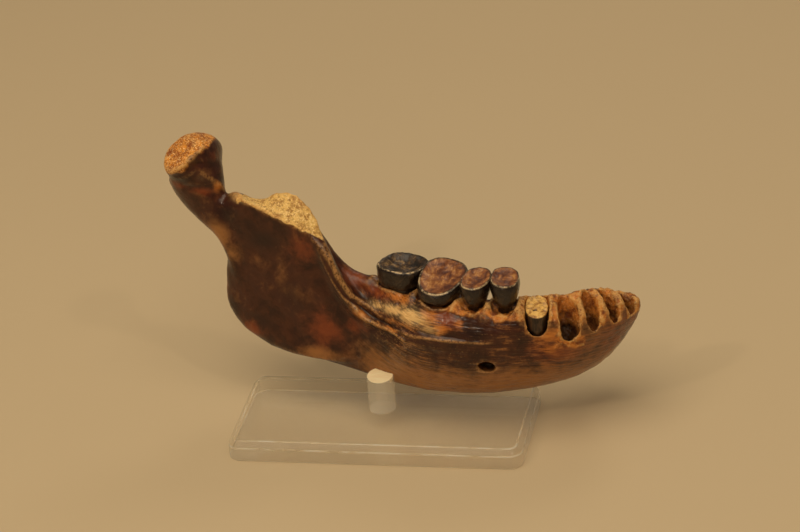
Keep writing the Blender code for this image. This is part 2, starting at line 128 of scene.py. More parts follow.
# %% A helper that builds a finish
class Finish:
    """A procedural material. Numbers that are the same all over go straight on the shader's sockets."""

    def __init__(self, name, **constants):
        self.material = bpy.data.materials.new(name)
        self.material.use_nodes = True
        self.tree = self.material.node_tree
        self.shader = self.tree.nodes["Principled BSDF"]
        for socket, value in constants.items():
            self.shader.inputs[socket.replace("_", " ")].default_value = value

    def add(self, kind, inputs=(), result=0, **settings):
        node = self.tree.nodes.new(kind)
        for name, value in settings.items():
            setattr(node, name, value)
        for key, value in dict(inputs).items():
            if isinstance(value, bpy.types.NodeSocket):
                self.tree.links.new(value, node.inputs[key])
            else:
                node.inputs[key].default_value = value
        return node.outputs[result]

    def place(self):
        """Where each point lies, in metres."""
        return self.add("ShaderNodeTexCoord", result="Object")

    def painted(self, name, result="Fac"):
        """What a mesh attribute says at each point."""
        return self.add("ShaderNodeAttribute", attribute_name=name, result=result)

    def clouds(self, vector, sizes, detail=4.0, roughness=0.6, twist=0.0):
        """Noise with clouds of this length along each axis, in the vector's own units."""
        scales = (1 / np.broadcast_to(np.array(sizes, float), 3)).tolist()
        scaled = self.add("ShaderNodeVectorMath", {0: vector, 1: scales}, operation="MULTIPLY")
        return self.add("ShaderNodeTexNoise", {
            "Vector": scaled, "Scale": 1.0, "Detail": detail, "Roughness": roughness, "Distortion": twist,
        })

    def between(self, value, low, high, to_low=0.0, to_high=1.0):
        """The value's way from low to high, as a number from to_low to to_high."""
        inputs = {"Value": value, "From Min": low, "From Max": high, "To Min": to_low, "To Max": to_high}
        return self.add("ShaderNodeMapRange", inputs, interpolation_type="SMOOTHSTEP")

    def times(self, a, b):
        return self.add("ShaderNodeMath", {0: a, 1: b}, operation="MULTIPLY")

    def total(self, *parts):
        """The sum of its parts, each a value or a pair of a value and its weight."""
        result, *others = (self.times(*part) if isinstance(part, tuple) else part for part in parts)
        for other in others:
            result = self.add("ShaderNodeMath", {0: result, 1: other}, operation="ADD")
        return result

    def laid(self, ground, *coats):
        """A colour with others laid over it in turn. Each coat is a share and a colour."""
        colour = self.as_colour(ground)
        for share, over in coats:
            mix = {0: share, 6: colour, 7: self.as_colour(over)}
            colour = self.add("ShaderNodeMix", mix, result=2, data_type="RGBA")
        return colour

    @staticmethod
    def as_colour(value):
        return value if isinstance(value, bpy.types.NodeSocket) else (*value, 1.0)

    def bump(self, height, depth_mm, strength):
        return self.add("ShaderNodeBump", {"Height": height, "Distance": depth_mm * MM, "Strength": strength})

    def finish(self, **sockets):
        for name, value in sockets.items():
            self.tree.links.new(value, self.shader.inputs[name.replace("_", " ")])
        return self.material


def put_on(piece, *materials):
    piece.data.materials.clear()
    for each in materials:
        piece.data.materials.append(each)


# %% [markdown]
# ## The floor and the light
#
# The stand needs something plain to lie on and to show through it. A single large face is enough, with a
# material so faintly mottled that it looks like painted board. It lies a hair below the stand, because two
# faces in one plane would flicker and turn the clear plate black. The light is that of a showcase: one broad
# soft lamp overhead, two small spots that put glints on the varnish, a weak lamp behind that draws a light
# line round the piece, and a warm glow all round that fills the shadows.

# %% The floor
FLOOR_HALF = 1.6
FLOOR_LEVEL = -0.15 * MM
FLOOR_COLOURS = (0.62, 0.485, 0.300), (0.65, 0.510, 0.318)
BLOTCH_SIZE = 0.2

floor_mesh = bpy.data.meshes.new("floor")
corners = [(x * FLOOR_HALF, y * FLOOR_HALF, FLOOR_LEVEL) for x, y in ((-1, -1), (1, -1), (1, 1), (-1, 1))]
floor_mesh.from_pydata(corners, [], [(0, 1, 2, 3)])
floor = added("floor", floor_mesh)
floor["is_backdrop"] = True

board = Finish("painted board", Roughness=0.75)
blotches = board.clouds(board.place(), BLOTCH_SIZE)
board_colour = board.laid(FLOOR_COLOURS[0], (blotches, FLOOR_COLOURS[1]))
put_on(floor, board.finish(Base_Color=board_colour))
print("floor", 2 * FLOOR_HALF, "metres wide")

# %% The lamps
LAMPS = {
    # name: azimuth, elevation, distance, width, power, colour
    "overhead lamp": (-15.0, 68.0, 0.95, 0.90, 6.2, (1.0, 0.85, 0.64)),
    "left spot": (-34.0, 40.0, 1.1, 0.05, 0.9, (1.0, 0.82, 0.60)),
    "right spot": (48.0, 52.0, 1.1, 0.05, 0.6, (1.0, 0.84, 0.62)),
    "back lamp": (165.0, 42.0, 1.0, 0.30, 0.8, (1.0, 0.86, 0.68)),
}
GLOW = (1.0, 0.85, 0.64, 1.0)
GLOW_STRENGTH = 0.16

for name, (azimuth, elevation, distance, width, power, colour) in LAMPS.items():
    lamp_data = bpy.data.lights.new(name, "AREA")
    lamp_data.size = width
    lamp_data.energy = power
    lamp_data.color = colour
    lamp = added(name, lamp_data)
    direction = away(math.radians(azimuth), math.radians(elevation))
    lamp.location = AIM + direction * distance
    lamp.rotation_euler = direction.to_track_quat("Z", "Y").to_euler()

world = bpy.data.worlds.new("showcase")
world.use_nodes = True
background = world.node_tree.nodes["Background"]
background.inputs["Color"].default_value = GLOW
background.inputs["Strength"].default_value = GLOW_STRENGTH
bpy.context.scene.world = world
bpy.context.scene.view_settings.view_transform = "Standard"
print("lamps:", ", ".join(LAMPS))

# %% [markdown]
# ## The jaw's own frame
#
# On the stand the jaw is turned and tipped, which makes its places awkward to name. So all the modelling is
# done in the frame of the jaw itself, in millimetres: x runs forward along the tooth row, y to the jaw's left
# and z up, with z 0 at the bone's edge under the second molar. Two short functions go to that frame and back.

# %% Into the jaw's frame and back
JAW_PLACE = np.array((22.6, 33.3, 32.0))
JAW_ROLL, JAW_PITCH, JAW_YAW = -5.0, -1.0, -38.5
jaw_turn = np.array(Euler([math.radians(a) for a in (JAW_ROLL, JAW_PITCH, JAW_YAW)], "XYZ").to_matrix())


def to_jaw(points):
    return (points / MM - JAW_PLACE) @ jaw_turn


def from_jaw(points):
    return (points @ jaw_turn.T + JAW_PLACE) * MM


def array_of(items, field):
    """A vector of each item, as the rows of one array."""
    flat = np.empty(len(items) * 3)
    items.foreach_get(field, flat)
    return flat.reshape(-1, 3)


def jaw_points(mesh):
    return to_jaw(array_of(mesh.vertices, "co"))


def jaw_normals(mesh):
    return array_of(mesh.vertex_normals, "vector") @ jaw_turn


def set_points(mesh, points):
    """Move a mesh to these points of the jaw's frame."""
    mesh.vertices.foreach_set("co", from_jaw(points).ravel())
    mesh.update()


def paint(mesh, name, values):
    """Keep a number or a vector for each point, for the material to read."""
    kind, field = ("FLOAT", "value") if values.ndim == 1 else ("FLOAT_VECTOR", "vector")
    attribute = mesh.attributes.new(name, kind, "POINT")
    attribute.data.foreach_set(field, np.ascontiguousarray(values, np.float32).ravel())


def piece_from(name, mesh, slot, *nodes):
    """An object for a finished mesh. It rides with the stand and stands for these solids."""
    piece = added(name, mesh)
    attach(piece, "root")
    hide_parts(*nodes)
    return piece


# %% [markdown]
# ## Rings in the tooth row
#
# The teeth, and the holes that hold them, are rounded ovals that lie along the row. A circle with a power on
# its sine and cosine gives every such outline, from an oval to a rounded square. A stack of these rings can
# then be joined into a closed body. Which way each tooth faces is given; its size, and the height and slant
# of its top, are measured on its solid.


# %% Ovals, stacks of rings, and the measures of a tooth
def oval(around, squareness):
    """A round outline: shares of the half length and of the half breadth, from -1 to 1."""
    angles = np.linspace(0, 2 * math.pi, around, endpoint=False)
    cosine, sine = np.cos(angles), np.sin(angles)
    power = 2 / squareness
    return angles, np.sign(cosine) * np.abs(cosine) ** power, np.sign(sine) * np.abs(sine) ** power


def stacked(name, rings):
    """A closed body through rings of equally many points, with a fan of faces at each end."""
    count, faces = len(rings[0]), []
    points = np.concatenate([*rings, [np.mean(rings[0], 0)], [np.mean(rings[-1], 0)]])
    last = (len(rings) - 1) * count
    for i in range(count):
        j = (i + 1) % count
        faces += [(i, j, len(points) - 2), (last + j, last + i, len(points) - 1)]
        faces += [(k + j, k + i, k + count + i, k + count + j) for k in range(0, last, count)]
    mesh = bpy.data.meshes.new(name)
    mesh.from_pydata(points.tolist(), [], faces)
    shape = bmesh.new()
    shape.from_mesh(mesh)
    bmesh.ops.recalc_face_normals(shape, faces=shape.faces)
    shape.to_mesh(mesh)
    shape.free()
    return mesh, points


class Tooth:
    """Where a tooth's solid stands in the jaw's frame, which way it faces and how large it is."""

    # The slant of its top is measured on its outer and inner sides, which begin and lie at these shares of
    # its half breadth
    SIDE_FROM, SIDE_MIDDLE = 0.8, 0.9

    def __init__(self, node, turn):
        points = jaw_points(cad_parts[node].data)
        angle = math.radians(turn)
        self.forward = np.array((math.cos(angle), math.sin(angle), 0))
        self.outward = np.array((math.sin(angle), -math.cos(angle), 0))
        along, out = points @ self.forward, points @ self.outward
        middle_along, middle_out = (along.max() + along.min()) / 2, (out.max() + out.min()) / 2
        self.middle = self.forward * middle_along + self.outward * middle_out
        self.half_length, self.half_breadth = np.ptp(along) / 2, np.ptp(out) / 2
        side = (out - middle_out) / self.half_breadth
        outer = points[side > self.SIDE_FROM, 2].max()
        inner = points[side < -self.SIDE_FROM, 2].max()
        self.height, self.lean = (outer + inner) / 2, (inner - outer) / 2 / self.SIDE_MIDDLE

    def ring(self, a, b, z, lean=0.0):
        """Points at these shares of the half length and half breadth, slanted by this share of its lean."""
        ring = self.middle + np.outer(a * self.half_length, self.forward)
        ring += np.outer(b * self.half_breadth, self.outward)
        ring[:, 2] = z - self.lean * lean * b
        return ring


ROW_TURNS = {
    "second_molar": 14.2, "first_molar": 12.4, "second_premolar": 23.6, "first_premolar": 36.1,
    "canine_root": 48.1,
}
teeth = {node: Tooth(node, turn) for node, turn in ROW_TURNS.items()}
for node, tooth in teeth.items():
    length, breadth = 2 * tooth.half_length, 2 * tooth.half_breadth
    print(f"{node}: {length:.1f} x {breadth:.1f} mm, {tooth.height:.1f} mm high")

# %% [markdown]
# ## A fine skin for the bone
#
# The solid of the bone has the right form, in faces about a millimetre across. Its skin needs near a hundred
# times as many. Subdividing would keep the long thin triangles that its cuts left, so the copy is remeshed
# with small even cells instead, and then relaxed until the old faces no longer show. The cheek teeth stand in
# it with no gap, so plugs that fill their holes grow into the bone on the way.

# %% Remesh a copy of the solid
SKIN_CELL = 0.19
SKIN_RELAXING = 26
SAME_PLACE = 0.001 * MM
PLUG_AROUND, PLUG_SQUARENESS = 40, 2.6
PLUG_SHARE, PLUG_TOP, PLUG_FOOT = 0.96, -0.25, -5.6


def plug_for(tooth):
    """A body that fills a tooth's hole in the bone."""
    _, a, b = oval(PLUG_AROUND, PLUG_SQUARENESS)
    rings = [tooth.ring(a * PLUG_SHARE, b * PLUG_SHARE, z) for z in (PLUG_FOOT, PLUG_TOP)]
    mesh, points = stacked("plug", rings)
    set_points(mesh, points)
    return mesh


def fine_skin(solid, fillings):
    """The solid and its fillings as one mesh of small, even, relaxed cells."""
    shape = bmesh.new()
    shape.from_mesh(solid)
    bmesh.ops.remove_doubles(shape, verts=shape.verts, dist=SAME_PLACE)
    for filling in fillings:
        shape.from_mesh(filling)
    mesh = bpy.data.meshes.new("copy")
    shape.to_mesh(mesh)
    shape.free()
    copy = added("copy", mesh)
    remesh = copy.modifiers.new("even cells", "REMESH")
    remesh.mode = "VOXEL"
    remesh.voxel_size = SKIN_CELL * MM
    relax = copy.modifiers.new("relax", "SMOOTH")
    relax.factor = 0.5
    relax.iterations = SKIN_RELAXING
    ready = bpy.context.evaluated_depsgraph_get()
    fine = bpy.data.meshes.new_from_object(copy.evaluated_get(ready))
    bpy.data.objects.remove(copy, do_unlink=True)
    return fine


plugs = [plug_for(tooth) for node, tooth in teeth.items() if node != "canine_root"]
bone_mesh = fine_skin(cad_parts["jawbone"].data, plugs)
jaw, normal = jaw_points(bone_mesh), jaw_normals(bone_mesh)
print("bone skin:", len(bone_mesh.vertices), "points")

# %% [markdown]
# ## The grain of the bone
#
# Bone is built of fine fibres, and weathering brings them out. In the body of the jaw they run forward along
# the tooth row, and in the ramus they climb back to the joint. A noise that is stretched along the fibres
# needs to know which way they run at each point. That is given by three numbers: how far along the row the
# point lies, how far across it, and its height measured from a line that climbs as the fibres do.

# %% Work out the grain's three numbers
ROW_LINE = np.array((
    (-60, -57), (-25, -43), (-9, -35.5), (1, -31), (11, -27.5), (18, -24.5),
    (24, -20.5), (29, -15.5), (32.5, -9), (34.5, 0), (34.5, 8), (32, 16),
), float)
CLIMB_START, CLIMB_BEND, CLIMB_SLOPE = 2.0, 5.0, 0.9
# How far along the row the body's lower border is at this height
LOWER_BORDER = (
    (20, -18), (38, -20), (55, -22.8), (66, -24.8), (92, -25), (106, -24.4), (115, -23.8), (124, -19),
)


def along_and_across(points, line):
    """How far along the line each point lies, and how far to its right."""
    steps = np.diff(line, axis=0)
    lengths = np.linalg.norm(steps, axis=1)
    starts = np.concatenate(([0], np.cumsum(lengths)[:-1]))
    nearest = np.full(len(points), np.inf)
    along, across = np.zeros(len(points)), np.zeros(len(points))
    for start, step, length, before in zip(line, steps, lengths, starts):
        offset = points[:, :2] - start
        share = np.clip(offset @ step / length ** 2, 0, 1)
        gap = np.linalg.norm(offset - share[:, None] * step, axis=1)
        side = (offset[:, 0] * step[1] - offset[:, 1] * step[0]) / length
        closer = gap < nearest
        nearest[closer] = gap[closer]
        along[closer] = (before + share * length)[closer]
        across[closer] = side[closer]
    return along, across


def fibre_climb(x):
    """How much higher the fibres have climbed at x than at the molars."""
    return CLIMB_SLOPE * CLIMB_BEND * np.logaddexp(0, (CLIMB_START - x) / CLIMB_BEND)


along, across = along_and_across(jaw, ROW_LINE)
grain = np.stack((along, across, jaw[:, 2] - fibre_climb(jaw[:, 0])), axis=1)
above_border = jaw[:, 2] - np.interp(along, *np.array(LOWER_BORDER, float).T)
print(f"the bone is {np.ptp(along):.0f} mm long along its row")

# %% [markdown]
# ## Tools for carving
#
# The skin is carved by moving its points along their normals. A few tools do it all: a noise for what is
# irregular, a smooth step, a crest or groove that follows a line, and a soft patch round a place. They
# take all the points at once, as arrays, because a loop over so many points is slow. Only the noise has to be
# asked for point by point.


# %% Noise, steps, crests and patches
LAYER_SEED_STEP = 7.3


def clouds_at(points, sizes, seed):
    """Noise from -1 to 1 whose spots are this large, in millimetres."""
    return np.array([noise.noise(Vector(p)) for p in points / sizes + seed])


def layered(points, sizes, seed, layers=3):
    """Noise with finer noise on top of it."""
    sizes = np.array(sizes, float)
    seeds = [seed + LAYER_SEED_STEP * k for k in range(layers)]
    return sum(clouds_at(points, sizes / 2 ** k, each) / 2 ** k for k, each in enumerate(seeds))


def step(value, low, high):
    share = np.clip((value - low) / (high - low), 0, 1)
    return share * share * (3 - 2 * share)


def smooth_line(points, steps=6):
    """A line through the points, with a smooth curve between them."""
    points = [np.array(p, float) for p in points]
    ends = [points[0], *points, points[-1]]
    found = []
    for p, q, r, s in zip(ends, ends[1:], ends[2:], ends[3:]):
        bend, twist = 2 * p - 5 * q + 4 * r - s, 3 * q - p - 3 * r + s
        for t in (k / steps for k in range(steps)):
            found.append(q + 0.5 * t * (r - p + bend * t + twist * t ** 2))
    return np.array([*found, points[-1]])


def near_line(points, line, width, fade=0.15):
    """1 on the line, falling off sideways within this width, and fading at its ends."""
    line = smooth_line(line)
    low, high = line.min(0) - 3 * width, line.max(0) + 3 * width
    close = np.flatnonzero(((points > low) & (points < high)).all(1))
    spots = points[close]
    gaps, share = np.full(len(spots), np.inf), np.zeros(len(spots))
    for number, (start, end) in enumerate(zip(line, line[1:])):
        way = end - start
        part = np.clip((spots - start) @ way / (way @ way + 1e-9), 0, 1)
        gap = np.linalg.norm(spots - start - part[:, None] * way, axis=1)
        closer = gap < gaps
        gaps[closer], share[closer] = gap[closer], (number + part[closer]) / (len(line) - 1)
    found = np.zeros(len(points))
    found[close] = np.exp(-(gaps / width) ** 2) * step(share, 0, fade) * step(1 - share, 0, fade)
    return found


def patch(points, centre, radii, turn=0.0):
    """1 at the centre of a soft oval patch, and almost nothing beyond its radii, the first along the turn."""
    offset = points - np.array(centre, float)
    cosine, sine = math.cos(math.radians(turn)), math.sin(math.radians(turn))
    a, b = offset[:, 0] * cosine + offset[:, 1] * sine, offset[:, 1] * cosine - offset[:, 0] * sine
    return np.exp(-1.5 * ((a / radii[0]) ** 2 + (b / radii[1]) ** 2 + (offset[:, 2] / radii[2]) ** 2))


def cell_walls(points, size, seed):
    """The gap between the nearest and next cell centre: 0 on the walls between cells, 1 well inside."""
    gaps = np.array([noise.voronoi(Vector(p))[0][:2] for p in points / size + seed])
    return gaps[:, 1] - gaps[:, 0]


# %% [markdown]
# ## The bone between the teeth
#
# Round the roots the bone has shrunk away unevenly. It stands up in a peak between each pair of teeth, where
# it is spongy and pale, and dips in front of each root. At the front, the thin walls between the empty
# sockets end in jagged points. These peaks and dips are lifts straight up, not along the normals, because
# the edge of the bone rose and fell with the teeth.

# %% Raise the peaks between the teeth and sockets
LIFTS = {
    # name: centre, radii along and across the row and in height, turn, rise
    "behind the second molar": ((-6.6, -32.4, 0), (1.4, 3, 2), 14, 0.7),
    "outside the second molar": ((0.6, -34, 0), (7, 1.8, 3), 14, 0.55),
    "between the molars": ((6.4, -30, 0), (1.5, 4.5, 2.5), 13, 0.9),
    "outside the first molar": ((11, -33.4, 0), (4, 1.6, 2.6), 12, 0.55),
    "fork of the first molar": ((10.6, -32.4, 0), (1, 1.6, 2), 12, 0.5),
    "first molar's front root": ((14.4, -32, -0.4), (2.2, 1.4, 2.6), 12, -0.4),
    "before the first molar": ((18.2, -27.6, 0), (1.5, 4.2, 2.5), 20, 1.7),
    "second premolar's root": ((22.6, -28.6, 0), (2.2, 1.6, 2.6), 24, 0.6),
    "between the premolars": ((25.4, -24.4, 0), (1.5, 4, 2.5), 30, 1.7),
    "first premolar's root": ((29.6, -23.6, -0.5), (1.8, 1.5, 2.6), 36, 0.1),
    "before the first premolar": ((31, -18.8, 0.5), (1.3, 4.5, 2.5), 42, 1.3),
    "before the canine": ((36.2, -13.4, 1), (1, 4, 3), 48, 0.9),
    "first wall": ((39.9, -7.4, 1), (0.9, 4.5, 3.5), 65, 0.9),
    "inner point of the first wall": ((38.3, -4.4, 2), (1.5, 2, 2), 75, 1.5),
    "second wall": ((41.4, -2.2, 0.6), (0.8, 4.5, 3.5), 80, 0.9),
    "third wall": ((41.6, 3.4, 0), (0.9, 4, 3.5), 92, 0.8),
    "front corner": ((43.4, 9.4, -1.8), (1.4, 2.2, 2.2), 95, 1),
    "where the neck meets the break": ((-39.4, -50.8, 20.4), (1.8, 3, 2.2), -10, 0.8),
    "dip before the corner": ((40.4, 7.4, 0), (1.6, 2.2, 3), 95, -0.6),
}

JAGGED = 0.45

upper = step(normal[:, 2], -0.35, 0.45)
lift = sum(rise * patch(jaw, centre, radii, turn) for centre, radii, turn, rise in LIFTS.values())
row_edge = step(jaw[:, 0], 14, 22) * step(jaw[:, 2], -5, -1)
jagged = JAGGED * layered(jaw, (1.7, 1.7, 6.0), 5.0, 2) * row_edge
jaw[:, 2] += (lift + jagged) * np.maximum(upper, 0.25)
set_points(bone_mesh, jaw)
jaw, normal = jaw_points(bone_mesh), jaw_normals(bone_mesh)
print(f"lifts from {lift.min():.1f} to {lift.max():.1f} mm")

# %% [markdown]
# ## Where the bone is broken, worn or hollow
#
# Three places show the inside of the bone: the break across the stump of the coronoid process, the worn
# outer face of the condyle, and the sockets and the bone between the tooth roots. Each is found from
# where its points lie and which way they face, and gets a number from 0 to 1 that both the carving and the
# colouring use.

# %% Mark the broken, worn and socket areas
BREAK_LINE = (
    (-36, -49.3, 18.7), (-34.2, -48.6, 18.1), (-32, -47.6, 17.8), (-27, -45.5, 18.2), (-22, -43.4, 17),
    (-17, -41.6, 13.4), (-16.3, -42.6, 11.8),
)
BREAK_WIDTH, BREAK_FOOT = 4.2, 10.7
BREAK_TIP, TIP_RADII = (-16.8, -43.0, 11.8), (2.6, 2.4, 3.0)
WORN_EDGE, WORN_EDGE_BEND, WORN_FOOT, WORN_FOOT_SLOPE = -43.3, 0.05, 25.4, 0.3
CONDYLE_X, CONDYLE_Y = -45, -57
TIP_HELP = 0.7
SOCKETS = {
    # place: radius, height of its foot
    (33.4, -15.4): (4.4, -4.5),
    (38.4, -10.4): (4.3, -8.5),
    (40.5, -4.8): (4.0, -4.6),
    (41.2, 0.4): (3.9, -4.6),
    (40.9, 6.3): (3.9, -4.6),
}
ROW_TOP_LINE = (
    (8, -28.4), (14, -27), (20, -24.8), (25, -22), (31, -17.6), (36, -12), (40, -6), (41, 0), (41, 8),
)
ROW_TOP_HALF = 4.7

rough_edge = layered(jaw, 3, 11.0) / 4
rough_height = jaw[:, 2] + 3 * rough_edge
broken = step(near_line(jaw, BREAK_LINE, BREAK_WIDTH, 0.02), 0.28, 0.40)
facing_up = normal[:, 2] + rough_edge + TIP_HELP * patch(jaw, BREAK_TIP, TIP_RADII)
broken *= step(facing_up, 0.30, 0.42) * step(rough_height, BREAK_FOOT - 0.4, BREAK_FOOT + 0.4)

worn_edge = WORN_EDGE - WORN_EDGE_BEND * (jaw[:, 1] - CONDYLE_Y) ** 2
worn_foot = WORN_FOOT + WORN_FOOT_SLOPE * (jaw[:, 0] - CONDYLE_X)
past_edge = step(worn_edge - jaw[:, 0] + 3 * rough_edge, -0.4, 0.5)
worn_face = past_edge * step(rough_height - worn_foot, -0.4, 0.5)

# deep marks where the sockets get painted shade: low down, on faces that look into the hole
socket, deep = np.zeros(len(jaw)), np.zeros(len(jaw))
for place, (radius, foot) in SOCKETS.items():
    offset = jaw[:, :2] - place
    aside = np.linalg.norm(offset, axis=1)
    inside = step(radius + 3 * rough_edge - aside, -0.3, 0.4) * step(rough_height, foot - 0.6, foot + 0.4)
    faces_in = step(normal[:, 2] - (offset * normal[:, :2]).sum(1) / (aside + 0.01), -0.1, 0.5)
    socket = np.maximum(socket, inside)
    deep = np.maximum(deep, inside * faces_in * step(-jaw[:, 2], 0.5, 6.0))

off_row = along_and_across(jaw, np.array(ROW_TOP_LINE, float))[1]
between_teeth = step(ROW_TOP_HALF - np.abs(off_row - 0.4) + 4 * rough_edge, 0, 1.0)
between_teeth *= step(rough_height, -1.7, -1.0) * step(jaw[:, 0], 13.0, 17.0)
spongy = np.maximum.reduce((broken, worn_face, socket, between_teeth))
print(f"spongy bone shows on {100 * spongy.mean():.0f}% of the skin's points")

# %% [markdown]
# ## Carve the crests and hollows
#
# On the outer side, the front edge of the ramus runs on down over the body as two sharp crests with a furrow
# between them, and under the lower one the bone is hollowed out. These forms catch the light and make the
# piece what it is, so they are moved in the mesh itself. Each is one named line through a few places.

# %% Crests, furrows and hollows
CRESTS = {
    # name: line, width, height; below zero it is cut in
    "front edge of the ramus": (
        ((-16.3, -42.4, 11.6), (-14.4, -41.6, 8.6), (-11.7, -41.3, 6), (-10, -40.9, 3), (-8.2, -40.1, 0.1),
         (-6.6, -39.3, -2), (-5.2, -37.9, -3.3), (-3.3, -37, -4.3), (-0.7, -36.8, -4.8), (2.7, -36.8, -5.5)),
        0.75, 0.60),
    "second edge": (
        ((-15.4, -43.6, 9.6), (-13.4, -43, 6), (-11.6, -42.6, 2.8), (-9.8, -41.8, 0), (-7.6, -40.8, -2.6),
         (-5.6, -39.6, -4.2)), 0.40, 0.26),
    "third edge": (
        ((-12.6, -40.2, 4.6), (-10.2, -39.4, 1.6), (-7.8, -38.6, -0.6), (-5.2, -37.2, -2.2),
         (-2, -36.2, -3.2)), 0.38, 0.24),
    "shelf streak": (
        ((-3, -36.4, -3.9), (0.6, -36.1, -4.2), (4.4, -35.9, -4.8), (8.4, -35.7, -5.4), (12.4, -35, -5.9)),
        0.36, 0.22),
    "upper streak": (
        ((-5, -36, -1.6), (-2, -35.6, -2.9), (1.5, -35.4, -3.4), (5, -35.2, -3.9), (9, -35, -4.4),
         (13, -34.4, -5.2)), 0.5, 0.28),
    "lower crest": (
        ((-6.1, -39.8, -3.2), (-4.4, -39.3, -5.5), (-2.7, -38.6, -6.8), (-0.7, -38.1, -7.6),
         (2.4, -37.5, -7.8), (5, -37.2, -8), (8.4, -37, -9), (10.8, -36.5, -9.4)), 0.70, 0.65),
    "furrow between them": (
        ((-7, -39.6, -2.4), (-4.5, -38.6, -4.2), (-2.3, -37.9, -5.8), (0.1, -37.5, -6.4), (3.3, -37, -6.8),
         (6.5, -36.9, -7.4)), 0.70, -0.60),
    "furrow behind the edge": (
        ((-14.4, -39.6, 7.6), (-11.5, -38.8, 3.6), (-9, -38.3, 0.6), (-6.5, -37.4, -1.6), (-3.5, -36.2, -3)),
        0.8, -0.35),
    "hollow under the crest": (
        ((-2.6, -38.4, -8.6), (-0.1, -38, -9.3), (3.1, -37.6, -9.5), (6.4, -37.2, -9.8), (9.5, -36.6, -10.6)),
        1.25, -0.95),
    "long low crest": (
        ((5, -36.9, -6.8), (9.7, -36.5, -7.5), (16.6, -34.3, -7.1), (21.8, -31.2, -7.1), (26.2, -28.1, -6.9),
         (30, -25, -6.6)), 0.55, 0.38),
    "furrow over the long crest": (
        ((8, -36.2, -6.2), (13, -35.2, -6.2), (18, -33.4, -6), (23, -30.2, -5.8)), 0.7, -0.22),
    "crest of the neck": (
        ((-43.2, -57, 25.6), (-42, -55.5, 23.8), (-41.2, -53.2, 21.4), (-40.2, -51, 19.2),
         (-36.6, -50.2, 18.6), (-33.9, -49.7, 18)), 1.1, 0.55),
    "groove across the neck": (
        ((-46.5, -60, 20.6), (-43.5, -57.6, 20.4), (-40.8, -54.6, 18.8), (-38, -52.4, 17.4)), 0.9, -0.35),
    "lip of the worn face": (
        ((-47.6, -62.6, 24.2), (-46.1, -62.3, 25.3), (-44.2, -61.3, 26.6), (-43.3, -58.8, 28.3),
         (-43.7, -55.9, 29.4), (-44.6, -53.1, 30)), 0.6, 0.35),
    "fold under the worn face": (
        ((-46.4, -62.6, 23.4), (-43.8, -61, 24.6), (-42.4, -58.6, 26.4), (-42.4, -55.6, 27.6)), 0.9, -0.4),
}

carved = sum(height * near_line(jaw, line, width) for line, width, height in CRESTS.values())
print(f"carved {len(CRESTS)} crests and hollows, from {carved.min():.2f} to {carved.max():.2f} mm")

# %% [markdown]
# ## Fibres, pores and sponge
#
# Between those forms the bone is never smooth. It swells and sinks a little, its fibres stand up in fine
# ridges along the front edge and the body, tiny pores dot the edge round the teeth, and the broken faces are
# a crowd of small pits and crumbs. All of it is noise of the right size in the right place, added up and
# moved along the normals in one go.

# %% Add up the fine relief and move the skin
SWELL, FIBRES, FINE_FIBRES = 0.16, 0.10, 0.06
PORE_CELL, PORE_DEPTH = 1.5, 0.25
SPONGE_CELL, SPONGE_DEPTH, SPONGE_LUMPS, SPONGE_CRUMBS = 0.9, 0.20, 0.34, 0.10

near_front = np.clip(patch(jaw, (-2, -37, -4), (14, 6, 12)) + 0.8 * step(jaw[:, 0], -4, 6), 0, 1)
fibrous = (0.18 + 0.82 * near_front) * (1 - spongy)
swell = SWELL * layered(jaw, 6, 1.0)
ridges = FIBRES * layered(grain, (10, 2.0, 1.3), 20.0, 2)
ridges += FINE_FIBRES * layered(grain, (4, 0.9, 0.5), 30.0, 2)

front_skin = step(jaw[:, 0], 26, 34) * step(jaw[:, 2], -12, -4)
pore_area = np.clip(patch(jaw, (14, -33, -3), (16, 6, 6)) + front_skin, 0, 1)
in_pores = np.flatnonzero((pore_area > 0.05) & (spongy < 0.9))
bed = jaw[in_pores]
holes = step(cell_walls(bed, PORE_CELL, 41.0), 0.50, 0.80)
pores = np.zeros(len(jaw))
pores[in_pores] = holes * step(clouds_at(bed, 4, 43.0), -0.1, 0.3)
pores *= PORE_DEPTH * pore_area

in_sponge = np.flatnonzero(spongy > 0.02)
bed = jaw[in_sponge]
pits = step(cell_walls(bed, SPONGE_CELL, 53.0), 0.15, 0.60) * step(clouds_at(bed, 2.5, 55.0), -0.35, 0.25)
crumbs = SPONGE_LUMPS * layered(bed, 2.6, 60.0, 2) + SPONGE_CRUMBS * layered(bed, 0.8, 64.0, 2)
softer = 1 - 0.6 * np.maximum.reduce((broken, worn_face, 0.7 * between_teeth))[in_sponge]
sponge = np.zeros(len(jaw))
sponge[in_sponge] = spongy[in_sponge] * softer * (crumbs - SPONGE_DEPTH * pits * softer)

relief = carved + swell + ridges * fibrous - pores + sponge
set_points(bone_mesh, jaw + normal * relief[:, None])
print(f"relief from {relief.min():.2f} to {relief.max():.2f} mm")

# %% [markdown]
# ## Crevices and edges
#
# Crevices are darkened as painted shade, and edges are rubbed pale and also given a painted highlight. How
# far a point lies above or below the average of its neighbours tells one from the other. That height is taken
# along the normal, smoothed a little and kept as two numbers for the material.


# %% Find crevices and edges
def neighbour_means(mesh, values, rounds):
    """Each value averaged with its neighbours', again and again."""
    pairs = np.empty(len(mesh.edges) * 2, int)
    mesh.edges.foreach_get("vertices", pairs)
    one, other = pairs.reshape(-1, 2).T

    def summed(column):
        return np.bincount(one, column[other], len(column)) + np.bincount(other, column[one], len(column))

    count = summed(np.ones(len(values)))
    columns = values.reshape(len(values), -1)
    for _ in range(rounds):
        columns = np.stack([summed(column) / count for column in columns.T], axis=1)
    return columns.reshape(values.shape)


NEAR_ROUNDS = 20
FLAT, EDGE_HEIGHT, CREVICE_DEPTH = 0.02, 0.16, 0.22

